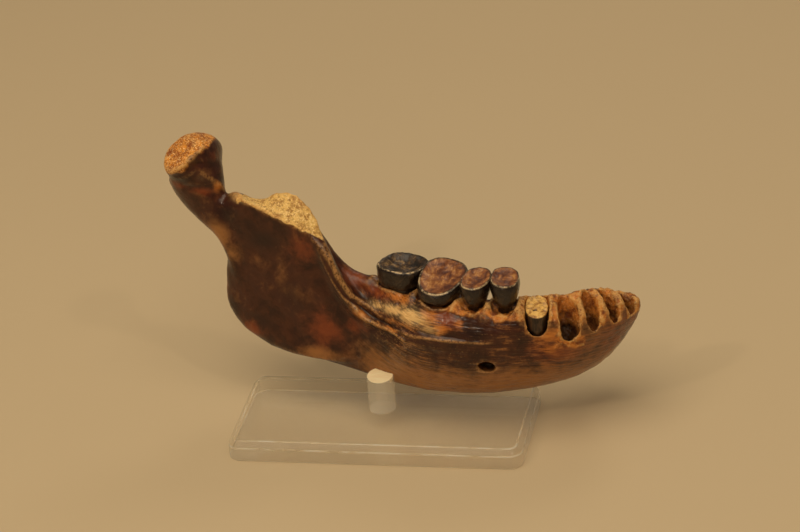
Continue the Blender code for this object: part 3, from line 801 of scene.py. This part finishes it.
jaw, normal = jaw_points(bone_mesh), jaw_normals(bone_mesh)
stands_out = ((jaw - neighbour_means(bone_mesh, jaw, NEAR_ROUNDS)) * normal).sum(1)
stands_out = neighbour_means(bone_mesh, stands_out, 2)
edge = step(stands_out, FLAT, EDGE_HEIGHT)
# where the crevices get painted shade, less on broken and worn faces
crevice_shade = step(-stands_out, FLAT, CREVICE_DEPTH) * (1 - 0.6 * np.maximum(broken, worn_face))
for name, found in (("edges", edge), ("crevices", crevice_shade)):
    print(f"{name} on {100 * (found > 0.5).mean():.0f}% of the skin")

# %% [markdown]
# ## Where each colour lies
#
# Iron and manganese from the ground have stained the bone almost black on the ramus and red-brown elsewhere.
# The lower border is tan, and where the varnish is thin over worn bone it glows from orange to cream. The
# cream patches on the shelf and on the crest of the neck are also a painted highlight where these faces meet
# the light, and the strongest black patch is painted shade in the hollow under the crest. One could paint
# this by hand in Blender. Here each stain is a soft patch with a place and a size, so the reader can move it,
# and the material breaks its outline up with noise.

# %% The stains
STAINS = {
    # name: list of centre, radii and strength
    # the cream stain: pale worn bone, and also a painted highlight on the shelf and the neck's crest
    "cream_and_highlight": (
        ((10, -34.6, -3.2), (5, 3, 2), 1), ((4.2, -35.6, -3.2), (4.4, 2.4, 1.2), 0.85),
        ((-0.6, -36.2, -3.4), (3.4, 2, 0.9), 0.6), ((15.6, -33.8, -5), (3, 2.4, 1.2), 0.5),
        ((-35.6, -50, 18.4), (2.6, 1.8, 1.2), 0.8), ((-43, -55.6, 23.4), (1, 1.4, 1), 0.6),
    ),
    "gold": (
        ((4.1, -33.1, -0.6), (6, 3, 1.4), 0.9), ((13.5, -32.8, -2.2), (4.4, 2.8, 1.8), 0.8),
        ((6, -35.4, -5.6), (7, 2.4, 1.2), 0.7), ((18, -32.4, -4.6), (3.4, 2.4, 1.6), 0.8),
        ((21.6, -29.6, -2.8), (1.6, 2, 1.2), 0.6), ((-3.5, -39, -6), (3, 1.6, 1.4), 0.8),
        ((5, -37.2, -7.6), (4, 1.6, 1), 0.6), ((36.5, -14.5, -5), (4.5, 4.5, 2), 0.8),
        ((37, -15, -8.5), (3, 3, 1.6), 0.6), ((-9.4, -40.6, 2), (2, 1.2, 3.4), 0.5),
        ((-40.4, -53, 20.6), (2.2, 2.4, 2), 0.7),
    ),
    "red": (
        ((-9, -36.6, 1.4), (8, 4, 3.2), 0.9), ((-2, -34.4, -1), (6, 3, 2.2), 0.9),
        ((18.6, -31.2, -2.4), (5, 3, 2.6), 0.9), ((-40.6, -51.4, -5), (1.8, 4, 8), 0.8),
        ((-32.4, -50.4, -16.4), (5, 3, 3.4), 0.9), ((-13, -42.6, -12), (9, 4, 6), 0.8),
        ((-5, -39.6, -10), (5, 3, 3), 0.7), ((-41.8, -56, 19.6), (5, 4, 1.6), 0.8),
        ((-48, -60, 21), (4, 4, 2.4), 0.6), ((-50, -48, 30), (3, 4, 2.4), 0.8),
        ((-44, -52, 27), (1.6, 3, 2), 0.7), ((-19, -44.4, 8), (6, 4, 5), 0.55),
        ((38, -12, -9), (10, 12, 6), 0.6), ((44, 4, -8), (8, 12, 10), 0.7),
        ((28, -22, 1.6), (5, 3, 1.6), 0.6),
    ),
    "tan": (
        ((-39.6, -54.2, 8), (4, 4, 5), 0.95), ((-35.6, -52.6, 4), (3.6, 3, 3.6), 0.6),
        ((-15, -43.4, -18.6), (17, 5, 2.6), 0.62), ((-19, -45.2, -4), (6, 3, 3), 0.3),
        ((-30, -48.6, 3), (5, 3, 3), 0.3), ((-24, -46.6, 1), (2, 3, 8), 0.3),
    ),
    "black_and_shade": (
        ((-37, -53.6, 14), (5, 3.6, 4), 0.9), ((-29, -48.6, 9), (9, 4, 4), 0.8),
        ((-46, -60.4, 23), (4, 3, 1.6), 0.8), ((-42, -52.6, 26), (2.4, 4, 2.6), 0.6),
        # the next patch fills the hollow under the crest with painted shade
        ((2.4, -37.7, -9.8), (5, 2, 1.2), 1), ((-12.6, -39.6, 4), (2, 1.6, 6), 0.5),
        ((-30, -49.6, -13), (8, 3, 3), 0.7), ((-38, -51.6, -11), (4, 3, 3), 0.8),
        ((25, -28, -4.4), (9, 3, 3), 0.9), ((16, -34.4, -9.6), (8, 3, 2), 0.6),
        ((-22, -46, -5), (8, 3, 6), 0.45),
    ),
}
LOWER_BAND, BAND_TOP = 9.0, 15.0

amounts = {
    name: np.maximum.reduce([strength * patch(jaw, centre, radii) for centre, radii, strength in patches])
    for name, patches in STAINS.items()
}
on_body = step(jaw[:, 0], -12, 0)
lower_band = (0.85 - 0.75 * step(above_border, LOWER_BAND - 4, BAND_TOP)) * on_body
front_band = 0.5 * step(jaw[:, 0], 33, 42)
amounts["tan"] = np.maximum.reduce((amounts["tan"], lower_band, front_band))
marks = {
    "grain": grain, "place": jaw, "edge": edge, "crevice_shade": crevice_shade, "spongy": spongy, "broken": broken,
    "worn_face": worn_face, "deep": deep, "fibrous": near_front,
}
for name, values in {**amounts, **marks}.items():
    paint(bone_mesh, name, values)
print("stains:", {name: len(patches) for name, patches in STAINS.items()})

# %% [markdown]
# ## The finish of the bone
#
# The colours are laid on one over another: a blotchy dark brown first, then the red, tan, gold and cream
# stains, where the cream also carries a painted highlight and one black patch is painted shade, then painted
# glints, the pale inside on the broken faces, and last painted shade in the deep sockets and the crevices,
# and the edges, rubbed pale and given a painted highlight.
# A thin coat of varnish lies over it all, broken up by the grain, so that the light shows as many small
# glints and not as one smooth shine.

# %% The colours of the bone
DEEP_BROWN, WARM_BROWN, PURPLE_BROWN = (0.026, 0.006, 0.0025), (0.090, 0.024, 0.008), (0.045, 0.012, 0.008)
STAIN_COATS = {
    # painted stain: its colour, the most that it covers
    "tan": ((0.38, 0.160, 0.045), 0.92),
    "black_and_shade": ((0.018, 0.006, 0.004), 0.88),
    "red": ((0.240, 0.050, 0.012), 0.88),
    "gold": ((0.60, 0.190, 0.025), 0.92),
    "cream_and_highlight": ((0.74, 0.37, 0.10), 0.96),
}
# the rubbed-edge colour also serves for painted highlights and glints, and the dirt colour also for painted
# shade
PALE_FIBRE, RUBBED_EDGE_AND_HIGHLIGHT, DIRT_AND_SHADE = (1.0, 0.74, 0.34), (0.66, 0.34, 0.11), (0.010, 0.004, 0.002)
# the pale colour of broken bone also serves for painted highlights and glints
PALE_BREAK_AND_HIGHLIGHT, BROWN_BREAK = (0.86, 0.55, 0.16), (0.40, 0.18, 0.038)
WORN_GOLD, WORN_BROWN = (0.84, 0.32, 0.035), (0.30, 0.075, 0.010)
SOCKET_GOLD, SOCKET_BROWN = (0.62, 0.215, 0.034), (0.20, 0.050, 0.010)
print("stains, the lowest first:", ", ".join(STAIN_COATS))


# %% Fossil bone
def fossil_bone():
    """The finish. Sizes of noise are in millimetres, and those of the fibres run along them first."""
    bone = Finish("fossil bone", Specular_IOR_Level=0.1, Coat_Weight=0.6, Coat_Roughness=0.06)
    fibre, spot = bone.painted("grain", "Vector"), bone.painted("place", "Vector")
    streaks = bone.clouds(fibre, (8.0, 1.8, 1.2), 8.0, 0.66, 0.8)
    fibres = bone.clouds(fibre, (4.0, 0.7, 0.32), 5.0, 0.66, 0.5)
    ripples = bone.clouds(fibre, (4.0, 1.2, 0.9), 2.0, 0.5, 0.5)
    mottle = bone.clouds(spot, 9.0, 10.0, 0.64, 0.6)
    clumps = bone.clouds(spot, 2.2, 6.0, 0.62, 0.4)
    specks = bone.clouds(spot, 0.6, 5.0, 0.7)
    grains = bone.clouds(spot, 0.30, 2.0, 0.5)
    on_fibres, cream_and_highlight, spongy, broken, worn_face, edge = map(
        bone.painted, ("fibrous", "cream_and_highlight", "spongy", "broken", "worn_face", "edge"))

    blotches = bone.total((clumps, 0.35), (mottle, 0.65))
    ragged = bone.total(
        (bone.between(fibres, 0.3, 0.7, -0.16, 0.16), on_fibres),
        (bone.between(streaks, 0.3, 0.7, -0.16, 0.16), on_fibres),
        bone.between(blotches, 0.35, 0.65, -0.20, 0.20),
    )
    stains = [
        (bone.between(bone.total(bone.painted(name), ragged), 0.10, 0.95, 0, most), stain)
        for name, (stain, most) in STAIN_COATS.items()
    ]
    unstained_fibres = bone.times(on_fibres, bone.between(cream_and_highlight, 0.02, 0.35, 1, 0.1))
    raised = bone.total((fibres, on_fibres), (specks, 0.5))
    # painted glints: spots of the rubbed-edge colour on raised fibres
    painted_glints = bone.times(bone.between(raised, 0.72, 0.92), bone.between(grains, 0.50, 0.64, 0.02, 0.55))
    skin = bone.laid(
        DEEP_BROWN,
        (bone.between(blotches, 0.36, 0.64), WARM_BROWN),
        (bone.between(mottle, 0.46, 0.62, 0, 0.6), PURPLE_BROWN),
        *stains,
        # pale fibres in the cream stain, which also carry its painted highlight
        (bone.times(cream_and_highlight, bone.between(fibres, 0.38, 0.66, 0.25, 0.85)), PALE_FIBRE),
        (bone.times(bone.between(fibres, 0.36, 0.47, 0.45, 0), unstained_fibres), DIRT_AND_SHADE),
        (painted_glints, RUBBED_EDGE_AND_HIGHLIGHT),
        # sparse pale grains, which also stand as painted glints
        (bone.between(specks, 0.70, 0.76, 0, 0.8), PALE_BREAK_AND_HIGHLIGHT),
    )

    granular = bone.total((specks, 0.5), (clumps, 0.5))
    worn_spots = bone.total((granular, 0.6), (mottle, 0.4))
    crumbs = bone.times(bone.between(grains, 0.54, 0.66), bone.between(granular, 0.44, 0.56, 0.1, 0.85))
    inside = bone.laid(
        SOCKET_BROWN,
        (bone.between(clumps, 0.38, 0.60), SOCKET_GOLD),
        (worn_face, bone.laid(WORN_BROWN, (bone.between(worn_spots, 0.42, 0.54), WORN_GOLD))),
        (broken, bone.laid(BROWN_BREAK, (bone.between(granular, 0.40, 0.56), PALE_BREAK_AND_HIGHLIGHT))),
        (bone.times(crumbs, bone.total(broken, worn_face, 0.25)), PALE_FIBRE),
        # pale rims of the spongy bone: worn, with a painted highlight
        (bone.times(edge, bone.between(specks, 0.4, 0.6, 0.1, 0.7)), PALE_BREAK_AND_HIGHLIGHT),
    )
    colour = bone.laid(
        skin,
        (spongy, inside),
        # painted shade deep in the sockets
        (bone.times(bone.painted("deep"), 0.9), DIRT_AND_SHADE),
        # edges rubbed pale, with a painted highlight
        (bone.times(edge, bone.between(specks, 0.36, 0.58, 0.05, 0.65)), RUBBED_EDGE_AND_HIGHLIGHT),
        # painted shade in the crevices
        (bone.between(bone.painted("crevice_shade"), 0.1, 1.0, 0, 0.8), DIRT_AND_SHADE),
    )
    waves = bone.total((ripples, on_fibres), (clumps, 0.6), (specks, bone.total(spongy, 0.15)))
    return bone.finish(
        Base_Color=colour,
        Roughness=bone.between(bone.total(fibres, spongy), 0.35, 1.4, 0.32, 0.75),
        Normal=bone.bump(raised, 0.25, 0.6),
        Coat_Normal=bone.bump(waves, 0.30, 0.9),
    )


bone_mesh.shade_smooth()
bone_piece = piece_from("fossil_bone", bone_mesh, "bone", "jawbone")
put_on(bone_piece, fossil_bone())
print("the bone's finish has", len(bone_piece.active_material.node_tree.nodes), "nodes")

# %% [markdown]
# ## The worn teeth
#
# Years of chewing have worn the four cheek teeth flat. Each is a low crown with a thin raised rim of enamel
# round a hollow of softer dentine, and it narrows to a dark root. A tooth could be sculpted, but rings are
# surer: a stack of them, from the root's end over the rim and down into the hollow, gives its form. Each
# tooth has its own waist, because the molars are drums and the premolars taper to a single root.

# %% Shape a tooth from rings
TOOTH_AROUND = 144
RIM_SHARE = 0.93
HOLLOW_STEPS = 20
# Height as a share of the crown's, or in millimetres below the bone's edge, how far the width has gone from
# the waist's to the crown's, and what is added to the width there
SIDE_PROFILE = (
    (-5.0, -0.9, 0), (-3.4, -0.5, 0), (-1.6, -0.15, 0), (0, 0, 0), (0.20, 0.30, 0), (0.42, 0.70, 0),
    (0.64, 0.94, 0), (0.80, 1, 0.01), (0.90, 1, 0), (0.965, 1, -0.03), (1, 1, -0.07),
)
WORN_TEETH = {
    # node: squareness, waist, longer by, taper to its outer side, skew, depth of the hollow, fork, tone
    "second_molar": (2.7, 0.86, 1.00, 0.00, 0.00, 1.5, 0.07, "dark"),
    "first_molar": (2.5, 0.68, 1.03, 0.17, 0.06, 0.8, 0.22, "brown"),
    "second_premolar": (2.2, 0.54, 1.10, 0.04, 0.02, 0.6, 0.04, "brown"),
    "first_premolar": (2.3, 0.50, 1.07, 0.02, 0.12, 0.5, 0.00, "brown"),
}
FORK_HALF_ANGLE, INNER_FORK = 0.17, 0.7


def shape_tooth(tooth, squareness, waist, longer, taper, skew, hollow, fork):
    """The rings of a worn tooth, how far each point is inside the rim, and how near the rim's edge, weighted
    by the rim's painted highlight.
    """
    angles, a, b = oval(TOOTH_AROUND, squareness)
    a = longer * a * (1 - taper * b) + skew * b
    outer_groove = np.exp(-((angles - math.pi / 2) / FORK_HALF_ANGLE) ** 2)
    groove = outer_groove + INNER_FORK * np.exp(-((angles - 3 * math.pi / 2) / FORK_HALF_ANGLE) ** 2)
    # the rim's painted highlight: full on the outer side, 0.3 of it on the inner side
    rim_highlight = 0.3 + 0.7 * step(b, -0.3, 0.7)
    rings, inside, at_rim = [], [], []
    for z, way_up, extra in smooth_line(SIDE_PROFILE, 4):
        width = waist + (1 - waist) * way_up + extra
        height = z if z < 0 else z * tooth.height
        forked = 1 - fork * groove * step(-height, -2.4, 0.6)
        ring = tooth.ring(a * width, b * width * forked, height)
        ring[:, 2] -= tooth.lean * step(z, -1, 0.85) * b * width
        rings.append(ring)
        inside.append(np.zeros(TOOTH_AROUND))
        at_rim.append(rim_highlight * step(z, 0.955, 0.995))
    for k in range(1, HOLLOW_STEPS):
        share = RIM_SHARE * (1 - (k / HOLLOW_STEPS) ** 1.3)
        sunk = RIM_SHARE - share
        rings.append(tooth.ring(a * share, b * share, tooth.height - hollow * step(sunk, 0.01, 0.42), 1))
        inside.append(np.full(TOOTH_AROUND, step(sunk, 0.01, 0.09)))
        at_rim.append(rim_highlight * (1 - step(sunk, 0.0, 0.04)))
    return rings, np.append(np.ravel(inside), (0, 1)), np.append(np.ravel(at_rim), (0, 0))


print("each tooth has", TOOTH_AROUND, "points around it")

# %% [markdown]
# Chewed enamel and roots that lay in the ground are nearly black here, and only the worn rim is pale, where
# the enamel is thin, with a painted highlight on it that is strongest on the outer side. The dentine in the
# hollow is a stained brown, darker on the second molar. One finish serves all four teeth, and the marks
# painted on each say which part a point belongs to.

# %% Dark enamel and brown dentine
ENAMEL, ENAMEL_PALE, ROOT_DARK = (0.016, 0.009, 0.006), (0.070, 0.040, 0.020), (0.008, 0.005, 0.004)
RIM_PALE_AND_HIGHLIGHT = (0.80, 0.58, 0.32)
DENTINES = {
    "brown": ((0.090, 0.026, 0.014), (0.28, 0.098, 0.030), (0.56, 0.27, 0.085)),
    "dark": ((0.010, 0.007, 0.005), (0.060, 0.033, 0.018), (0.30, 0.18, 0.070)),
}


def tooth_finish(tone):
    """Nearly black enamel and root, a pale worn rim with a painted highlight, and stained dentine in the
    hollow.
    """
    tooth = Finish(f"worn tooth {tone}", Specular_IOR_Level=0.1, Coat_Weight=0.8, Coat_Roughness=0.07)
    spot, hollow = tooth.painted("place", "Vector"), tooth.painted("hollow")
    clouds = tooth.clouds(spot, (2.4, 2.4, 2.8), 6.0, 0.65, 0.5)
    fine = tooth.clouds(spot, (0.6, 0.6, 0.9), 5.0, 0.7)
    deep, middle, pale = DENTINES[tone]
    dentine = tooth.laid(
        deep,
        (tooth.between(clouds, 0.36, 0.56), middle),
        (tooth.between(tooth.total(clouds, (fine, 0.4)), 0.70, 0.88), pale),
    )
    both = tooth.total(fine, clouds)
    colour = tooth.laid(
        ENAMEL,
        (tooth.between(clouds, 0.5, 0.75, 0, 0.7), ENAMEL_PALE),
        (tooth.times(tooth.painted("root"), tooth.between(clouds, 0.3, 0.6, 0.95, 0.6)), ROOT_DARK),
        (hollow, dentine),
        # the pale worn rim, with its painted highlight
        (tooth.times(tooth.painted("rim"), tooth.between(both, 0.88, 1.14, 0.05, 0.95)), RIM_PALE_AND_HIGHLIGHT),
    )
    return tooth.finish(
        Base_Color=colour,
        Roughness=tooth.between(tooth.total(fine, hollow), 0.3, 1.5, 0.22, 0.5),
        Normal=tooth.bump(both, 0.2, 0.6),
        Coat_Normal=tooth.bump(clouds, 0.5, 0.8),
    )


tooth_finishes = {tone: tooth_finish(tone) for tone in DENTINES}
print("tooth finishes:", ", ".join(tooth_finishes))

# %% [markdown]
# Real wear is uneven. The hollow is dimpled where the cusps stood, the rim is nicked, and the roots are
# rough and furrowed lengthwise. The same carving tools that served the bone do this, along the normals of
# each tooth.

# %% Wear the teeth and finish them
RIM_NICKS, SIDE_RELIEF, ROOT_FURROWS, DIMPLES = 0.14, 0.16, 0.14, 0.24


def worn_tooth(node, seed, *details, tone):
    tooth = teeth[node]
    rings, inside, at_rim = shape_tooth(tooth, *details)
    mesh, points = stacked(f"worn_{node}", rings)
    set_points(mesh, points)
    side = (1 - inside) * (1 - at_rim)
    change = SIDE_RELIEF * layered(points, (2.0, 2.0, 3.0), seed) * side
    low_side = side * step(-points[:, 2], -2.5, 0)
    change += ROOT_FURROWS * layered(points, (1.2, 1.2, 7.0), seed + 3, 2) * low_side
    change += RIM_NICKS * layered(points, (0.9, 0.9, 2.0), seed + 5) * at_rim
    change += DIMPLES * layered(points, 2.6, seed + 9) * inside
    set_points(mesh, points + jaw_normals(mesh) * change[:, None])
    root = step(-points[:, 2], -tooth.height * 0.5, -tooth.height * 0.1)
    for name, values in {"place": points, "hollow": inside, "rim": at_rim, "root": root}.items():
        paint(mesh, name, values)
    mesh.shade_smooth()
    put_on(piece_from(f"worn_{node}", mesh, "tooth", node), tooth_finishes[tone])
    print(node, len(points), "points")


for number, (node, (*details, tone)) in enumerate(WORN_TEETH.items()):
    worn_tooth(node, 10.0 * number + 3.1, *details, tone=tone)

# %% [markdown]
# ## The broken canine
#
# Only the root of the canine is left, snapped off level with the bone. Its broken face is cream-coloured and
# crumbly, with the small dark hole of the pulp in it, and the side of the root is dark and finely furrowed.
# It is a stack of rings too, which bulges a little under its top, so that only a thin dark crack shows
# between it and its socket.

# %% The canine's root
STUMP_RINGS = (
    # height below the top, or below the bone's edge where it is deeper than 3 mm, width, share of the lean
    (-7.0, 0.5, 0), (-4.0, 0.86, 0), (-1.5, 1.02, 0.4), (-0.5, 1.05, 0.8), (-0.12, 1.03, 0.95), (0, 0.97, 1),
)
STUMP_STEPS, STUMP_DEEP, STUMP_SQUARENESS = 16, -3, 2.3
STUMP_TOP = STUMP_RINGS[-1][1]
PULP_PLACE, PULP_RADII, PULP_DEPTH = (-0.15, 0.25), (0.22, 0.10), 0.9
CRUMBLED, FURROWED = 0.30, 0.10


def pulp_at(a, b):
    """1 in the middle of the pulp's hole, and almost nothing outside it."""
    gap_a, gap_b = (a - PULP_PLACE[0]) / PULP_RADII[0], (b - PULP_PLACE[1]) / PULP_RADII[1]
    return np.exp(-(gap_a ** 2 + gap_b ** 2))


stump = teeth["canine_root"]
_, a, b = oval(TOOTH_AROUND, STUMP_SQUARENESS)
rings, top_share = [], []
for z, width, lean in smooth_line(STUMP_RINGS, 5):
    height = z if z < STUMP_DEEP else z + stump.height
    rings.append(stump.ring(a * width, b * width, height, lean))
    top_share.append(float(step(z, -0.35, -0.02)))
for k in range(1, STUMP_STEPS):
    width = STUMP_TOP * (1 - k / STUMP_STEPS)
    height = stump.height - PULP_DEPTH * pulp_at(a * width, b * width)
    rings.append(stump.ring(a * width, b * width, height, 1))
    top_share.append(1.0)
stump_mesh, points = stacked("broken_canine_root", rings)
top_face = np.append(np.repeat(top_share, TOOTH_AROUND), (0, 1))
set_points(stump_mesh, points)
rough = CRUMBLED * layered(points, 2, 80.0) * top_face + FURROWED * layered(points, (1.4, 1.4, 5.0), 90.0)
set_points(stump_mesh, points + jaw_normals(stump_mesh) * rough[:, None])
offset = points - stump.middle
pulp = pulp_at(offset @ stump.forward / stump.half_length, offset @ stump.outward / stump.half_breadth)
for name, values in {"place": points, "top": top_face, "pulp": step(pulp, 0.3, 0.6) * top_face}.items():
    paint(stump_mesh, name, values)
stump_mesh.shade_smooth()
print("canine root:", len(points), "points")

# %% The canine's broken face and its bark
BARK, BARK_PALE, PULP_DARK = (0.014, 0.008, 0.005), (0.090, 0.045, 0.020), (0.02, 0.012, 0.008)
FACE_BROWN, FACE_CREAM = (0.34, 0.14, 0.028), (0.88, 0.54, 0.15)

root = Finish("broken root", Specular_IOR_Level=0.3, Coat_Weight=0.3, Coat_Roughness=0.15)
spot = root.painted("place", "Vector")
blotches = root.clouds(spot, 1.3, 6.0, 0.65)
lengthwise = root.clouds(spot, (0.7, 0.7, 4.0), 5.0, 0.6)
root_colour = root.laid(
    BARK,
    (root.between(lengthwise, 0.4, 0.7), BARK_PALE),
    (root.painted("top"), root.laid(FACE_BROWN, (root.between(blotches, 0.36, 0.60), FACE_CREAM))),
    (root.painted("pulp"), PULP_DARK),
)
root_material = root.finish(
    Base_Color=root_colour,
    Roughness=root.between(blotches, 0.3, 0.7, 0.3, 0.6),
    Normal=root.bump(blotches, 0.2, 0.5),
)
stump_piece = piece_from("broken_canine_root", stump_mesh, "root", "canine_root")
put_on(stump_piece, root_material)
print("points on the root's broken face:", int((top_face > 0.5).sum()))

# %% [markdown]
# ## The acrylic stand
#
# The plate is a piece of clear sheet with rounded corners and a bevelled, polished edge. What makes acrylic
# look real is its edges: they gather the light. So the outline gets fine round corners, and every edge a tiny
# bevel of its own that can catch a highlight. The sizes of the plate are read from the solid.

# %% The plate
PLATE_CORNER, PLATE_BEVEL, EDGE_ROUNDING = 3.5 * MM, 1.5 * MM, 0.22 * MM
CORNER_STEPS, EDGE_STEPS = 14, 3
ROUND_FROM_ANGLE = math.radians(30)


def rounded_rectangle(half_x, half_y, radius, z):
    outline = []
    for side_x, side_y, start in ((1, 1, 0), (-1, 1, 90), (-1, -1, 180), (1, -1, 270)):
        for k in range(CORNER_STEPS + 1):
            angle = math.radians(start + 90 * k / CORNER_STEPS)
            x = side_x * (half_x - radius) + radius * math.cos(angle)
            y = side_y * (half_y - radius) + radius * math.sin(angle)
            outline.append((x, y, z))
    return outline


def prism(name, rings):
    """A closed body through level rings, with a single face at each end."""
    count = len(rings[0])
    last = count * (len(rings) - 1)
    faces = [tuple(range(count))[::-1], tuple(range(last, last + count))]
    for k in range(0, last, count):
        for i in range(count):
            j = (i + 1) % count
            faces.append((k + i, k + j, k + count + j, k + count + i))
    mesh = bpy.data.meshes.new(name)
    mesh.from_pydata([p for ring in rings for p in ring], [], faces)
    return mesh


half_x, half_y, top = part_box("stand_base")[1]
plate_mesh = prism("clear_plate", [
    rounded_rectangle(half_x, half_y, PLATE_CORNER, 0.0),
    rounded_rectangle(half_x, half_y, PLATE_CORNER, top - PLATE_BEVEL),
    rounded_rectangle(half_x - PLATE_BEVEL, half_y - PLATE_BEVEL, PLATE_CORNER - PLATE_BEVEL, top),
])
plate_mesh.shade_smooth()
plate = piece_from("clear_plate", plate_mesh, "acrylic", "stand_base")
bevel = plate.modifiers.new("rounded edges", "BEVEL")
bevel.width = EDGE_ROUNDING
bevel.segments = EDGE_STEPS
bevel.limit_method = "ANGLE"
bevel.angle_limit = ROUND_FROM_ANGLE
bevel.harden_normals = True
bevel.material = 1
print(f"plate {2000 * half_x:.1f} x {2000 * half_y:.1f} x {1000 * top:.1f} mm")

# %% [markdown]
# The rod is cut from the same material. Its side is polished, and its sloping top was sawn and only rubbed
# down, so that it scatters the light and looks pale. Where the jaw lies on it, it is hollowed to fit. A ray
# sent straight up from each point of the top says how high the bone is there, and the point stops just short
# of it. The rod is glued to the plate, so it goes down all the way.

# %% The rod
ROD_AROUND, ROD_STEPS = 96, 14
ROD_SLOPE = math.tan(math.radians(7.0))
SEAT_GAP, ROD_EDGE = 0.28 * MM, 0.16 * MM
EDGE_STEP = 0.3 * ROD_EDGE
ROD_FOOT = top + 0.02 * MM
FRONT_FROM, FRONT_SHARE = 0.9, 0.95  # the rod's front points lie beyond the first share of its radius

low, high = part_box("stand_rod")
rod_radius = (high.x - low.x) / 2
rod_x, rod_y = (high.x + low.x) / 2, (high.y + low.y) / 2
bone_above = BVHTree.FromObject(bone_piece, bpy.context.evaluated_depsgraph_get())
rod_points = [point.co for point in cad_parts["stand_rod"].data.vertices]
rod_front = max(point.z for point in rod_points if point.y < rod_y - FRONT_FROM * rod_radius)
rod_middle = rod_front + FRONT_SHARE * rod_radius * ROD_SLOPE
turns = np.linspace(0, 2 * math.pi, ROD_AROUND, endpoint=False)


def rod_height(x, y):
    """How high the rod's top is at a place, under the slant and under the bone."""
    height = rod_middle + ROD_SLOPE * (y - rod_y)
    hit = bone_above.ray_cast(Vector((x, y, ROD_FOOT)), Vector((0, 0, 1)))[0]
    return height if hit is None else min(height, hit.z - SEAT_GAP)


def rod_ring(radius, drop=0.0):
    """A ring of the rod, this far below its top."""
    spots = [(rod_x + radius * math.cos(turn), rod_y + radius * math.sin(turn)) for turn in turns]
    return [(x, y, rod_height(x, y) - drop) for x, y in spots]


rings = [[(x, y, ROD_FOOT) for x, y, _ in rod_ring(rod_radius)]]
rings += [rod_ring(rod_radius, ROD_EDGE), rod_ring(rod_radius - EDGE_STEP, EDGE_STEP)]
rings += [rod_ring((rod_radius - ROD_EDGE) * (1 - k / ROD_STEPS)) for k in range(ROD_STEPS)]
rod_mesh, _ = stacked("clear_rod", np.array(rings))
rod_mesh.shade_smooth()
rod_mesh.set_sharp_from_angle(angle=ROUND_FROM_ANGLE)
rod = piece_from("clear_rod", rod_mesh, "acrylic", "stand_rod")
print(f"rod {2000 * rod_radius:.1f} mm thick, its middle {1000 * (rod_middle - top):.1f} mm above the plate")

# %% [markdown]
# Clear acrylic lets all light through, bends it a little less than glass and has a faint warm tint. A few
# hairline scratches and finger marks keep it from looking like air. A renderer that traces few paths leaves
# the floor below such a piece too dark, so the acrylic is also partly transparent in the plain way, by its
# alpha, which lets light pass straight through. Its edges and the side of the rod gather light, so each has
# a paler, less clear finish of its own. The frosted top scatters most of its light.

# %% Clear and frosted acrylic
ACRYLIC_TINT, ROD_TINT = (1.0, 0.985, 0.94, 1.0), (1.0, 0.92, 0.74, 1.0)
FROST_SHADE, FROST_TINT = (0.92, 0.72, 0.42), (1.0, 0.86, 0.56)
EDGE_SHADE, EDGE_TINT = (0.80, 0.66, 0.42), (1.0, 0.95, 0.80)
ACRYLIC_IOR = 1.49

clear = Finish("clear acrylic", Transmission_Weight=1.0, IOR=ACRYLIC_IOR, Base_Color=ACRYLIC_TINT, Alpha=0.26)
smears = clear.clouds(clear.place(), (0.012, 0.02, 0.012), 5.0)
hairlines = clear.clouds(clear.place(), (0.0006, 0.02, 0.01), 2.0, 0.5)
clear_material = clear.finish(
    Roughness=clear.between(smears, 0.45, 0.75, 0.01, 0.09),
    Normal=clear.bump(hairlines, 0.01, 0.15),
)

lit_edge = Finish("light in the edges", Transmission_Weight=0.3, IOR=ACRYLIC_IOR, Alpha=0.5, Roughness=0.2)
gleams = lit_edge.clouds(lit_edge.place(), 0.006)
lit_edge_colour = lit_edge.laid(EDGE_SHADE, (lit_edge.between(gleams, 0.4, 0.6), EDGE_TINT))
put_on(plate, clear_material, lit_edge.finish(Base_Color=lit_edge_colour))

rod_side = Finish(
    "light in the rod", Base_Color=ROD_TINT, Transmission_Weight=0.3, IOR=ACRYLIC_IOR, Alpha=0.32,
)
polish = rod_side.clouds(rod_side.place(), (0.004, 0.004, 0.001))
rod_side_material = rod_side.finish(Roughness=rod_side.between(polish, 0.4, 0.7, 0.04, 0.2))

frosted = Finish("frosted acrylic", Transmission_Weight=0.1, IOR=ACRYLIC_IOR)
sawn = frosted.clouds(frosted.place(), (0.004, 0.0005, 0.004), 5.0, 0.7)
frosted_material = frosted.finish(
    Base_Color=frosted.laid(FROST_SHADE, (frosted.between(sawn, 0.35, 0.65), FROST_TINT)),
    Roughness=frosted.between(sawn, 0.3, 0.7, 0.45, 0.7),
    Normal=frosted.bump(sawn, 0.05, 0.5),
)
put_on(rod, rod_side_material, frosted_material)

# %% Give the rod's top its frosted finish
ABOVE_FOOT, TOP_SHARE = 4 * MM, 0.96

for face in rod_mesh.polygons:
    x, y, z = face.center
    within = math.hypot(x - rod_x, y - rod_y) < TOP_SHARE * rod_radius
    face.material_index = 1 if within and z > ROD_FOOT + ABOVE_FOOT else 0
print(sum(face.material_index for face in rod_mesh.polygons), "of the rod's faces are frosted")

# %% [markdown]
# ## Print both sizes
#
# The finished model should keep close to the size of its solids. Both boxes are printed, so that they can be
# compared.

# %% Keep both boxes
sizes = {"cad": [list(corner) for corner in cad_box], "visual": [list(corner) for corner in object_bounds()]}
for name, (low, high) in sizes.items():
    print(name, "box in mm:", [round(1000 * (b - a), 1) for a, b in zip(low, high)])
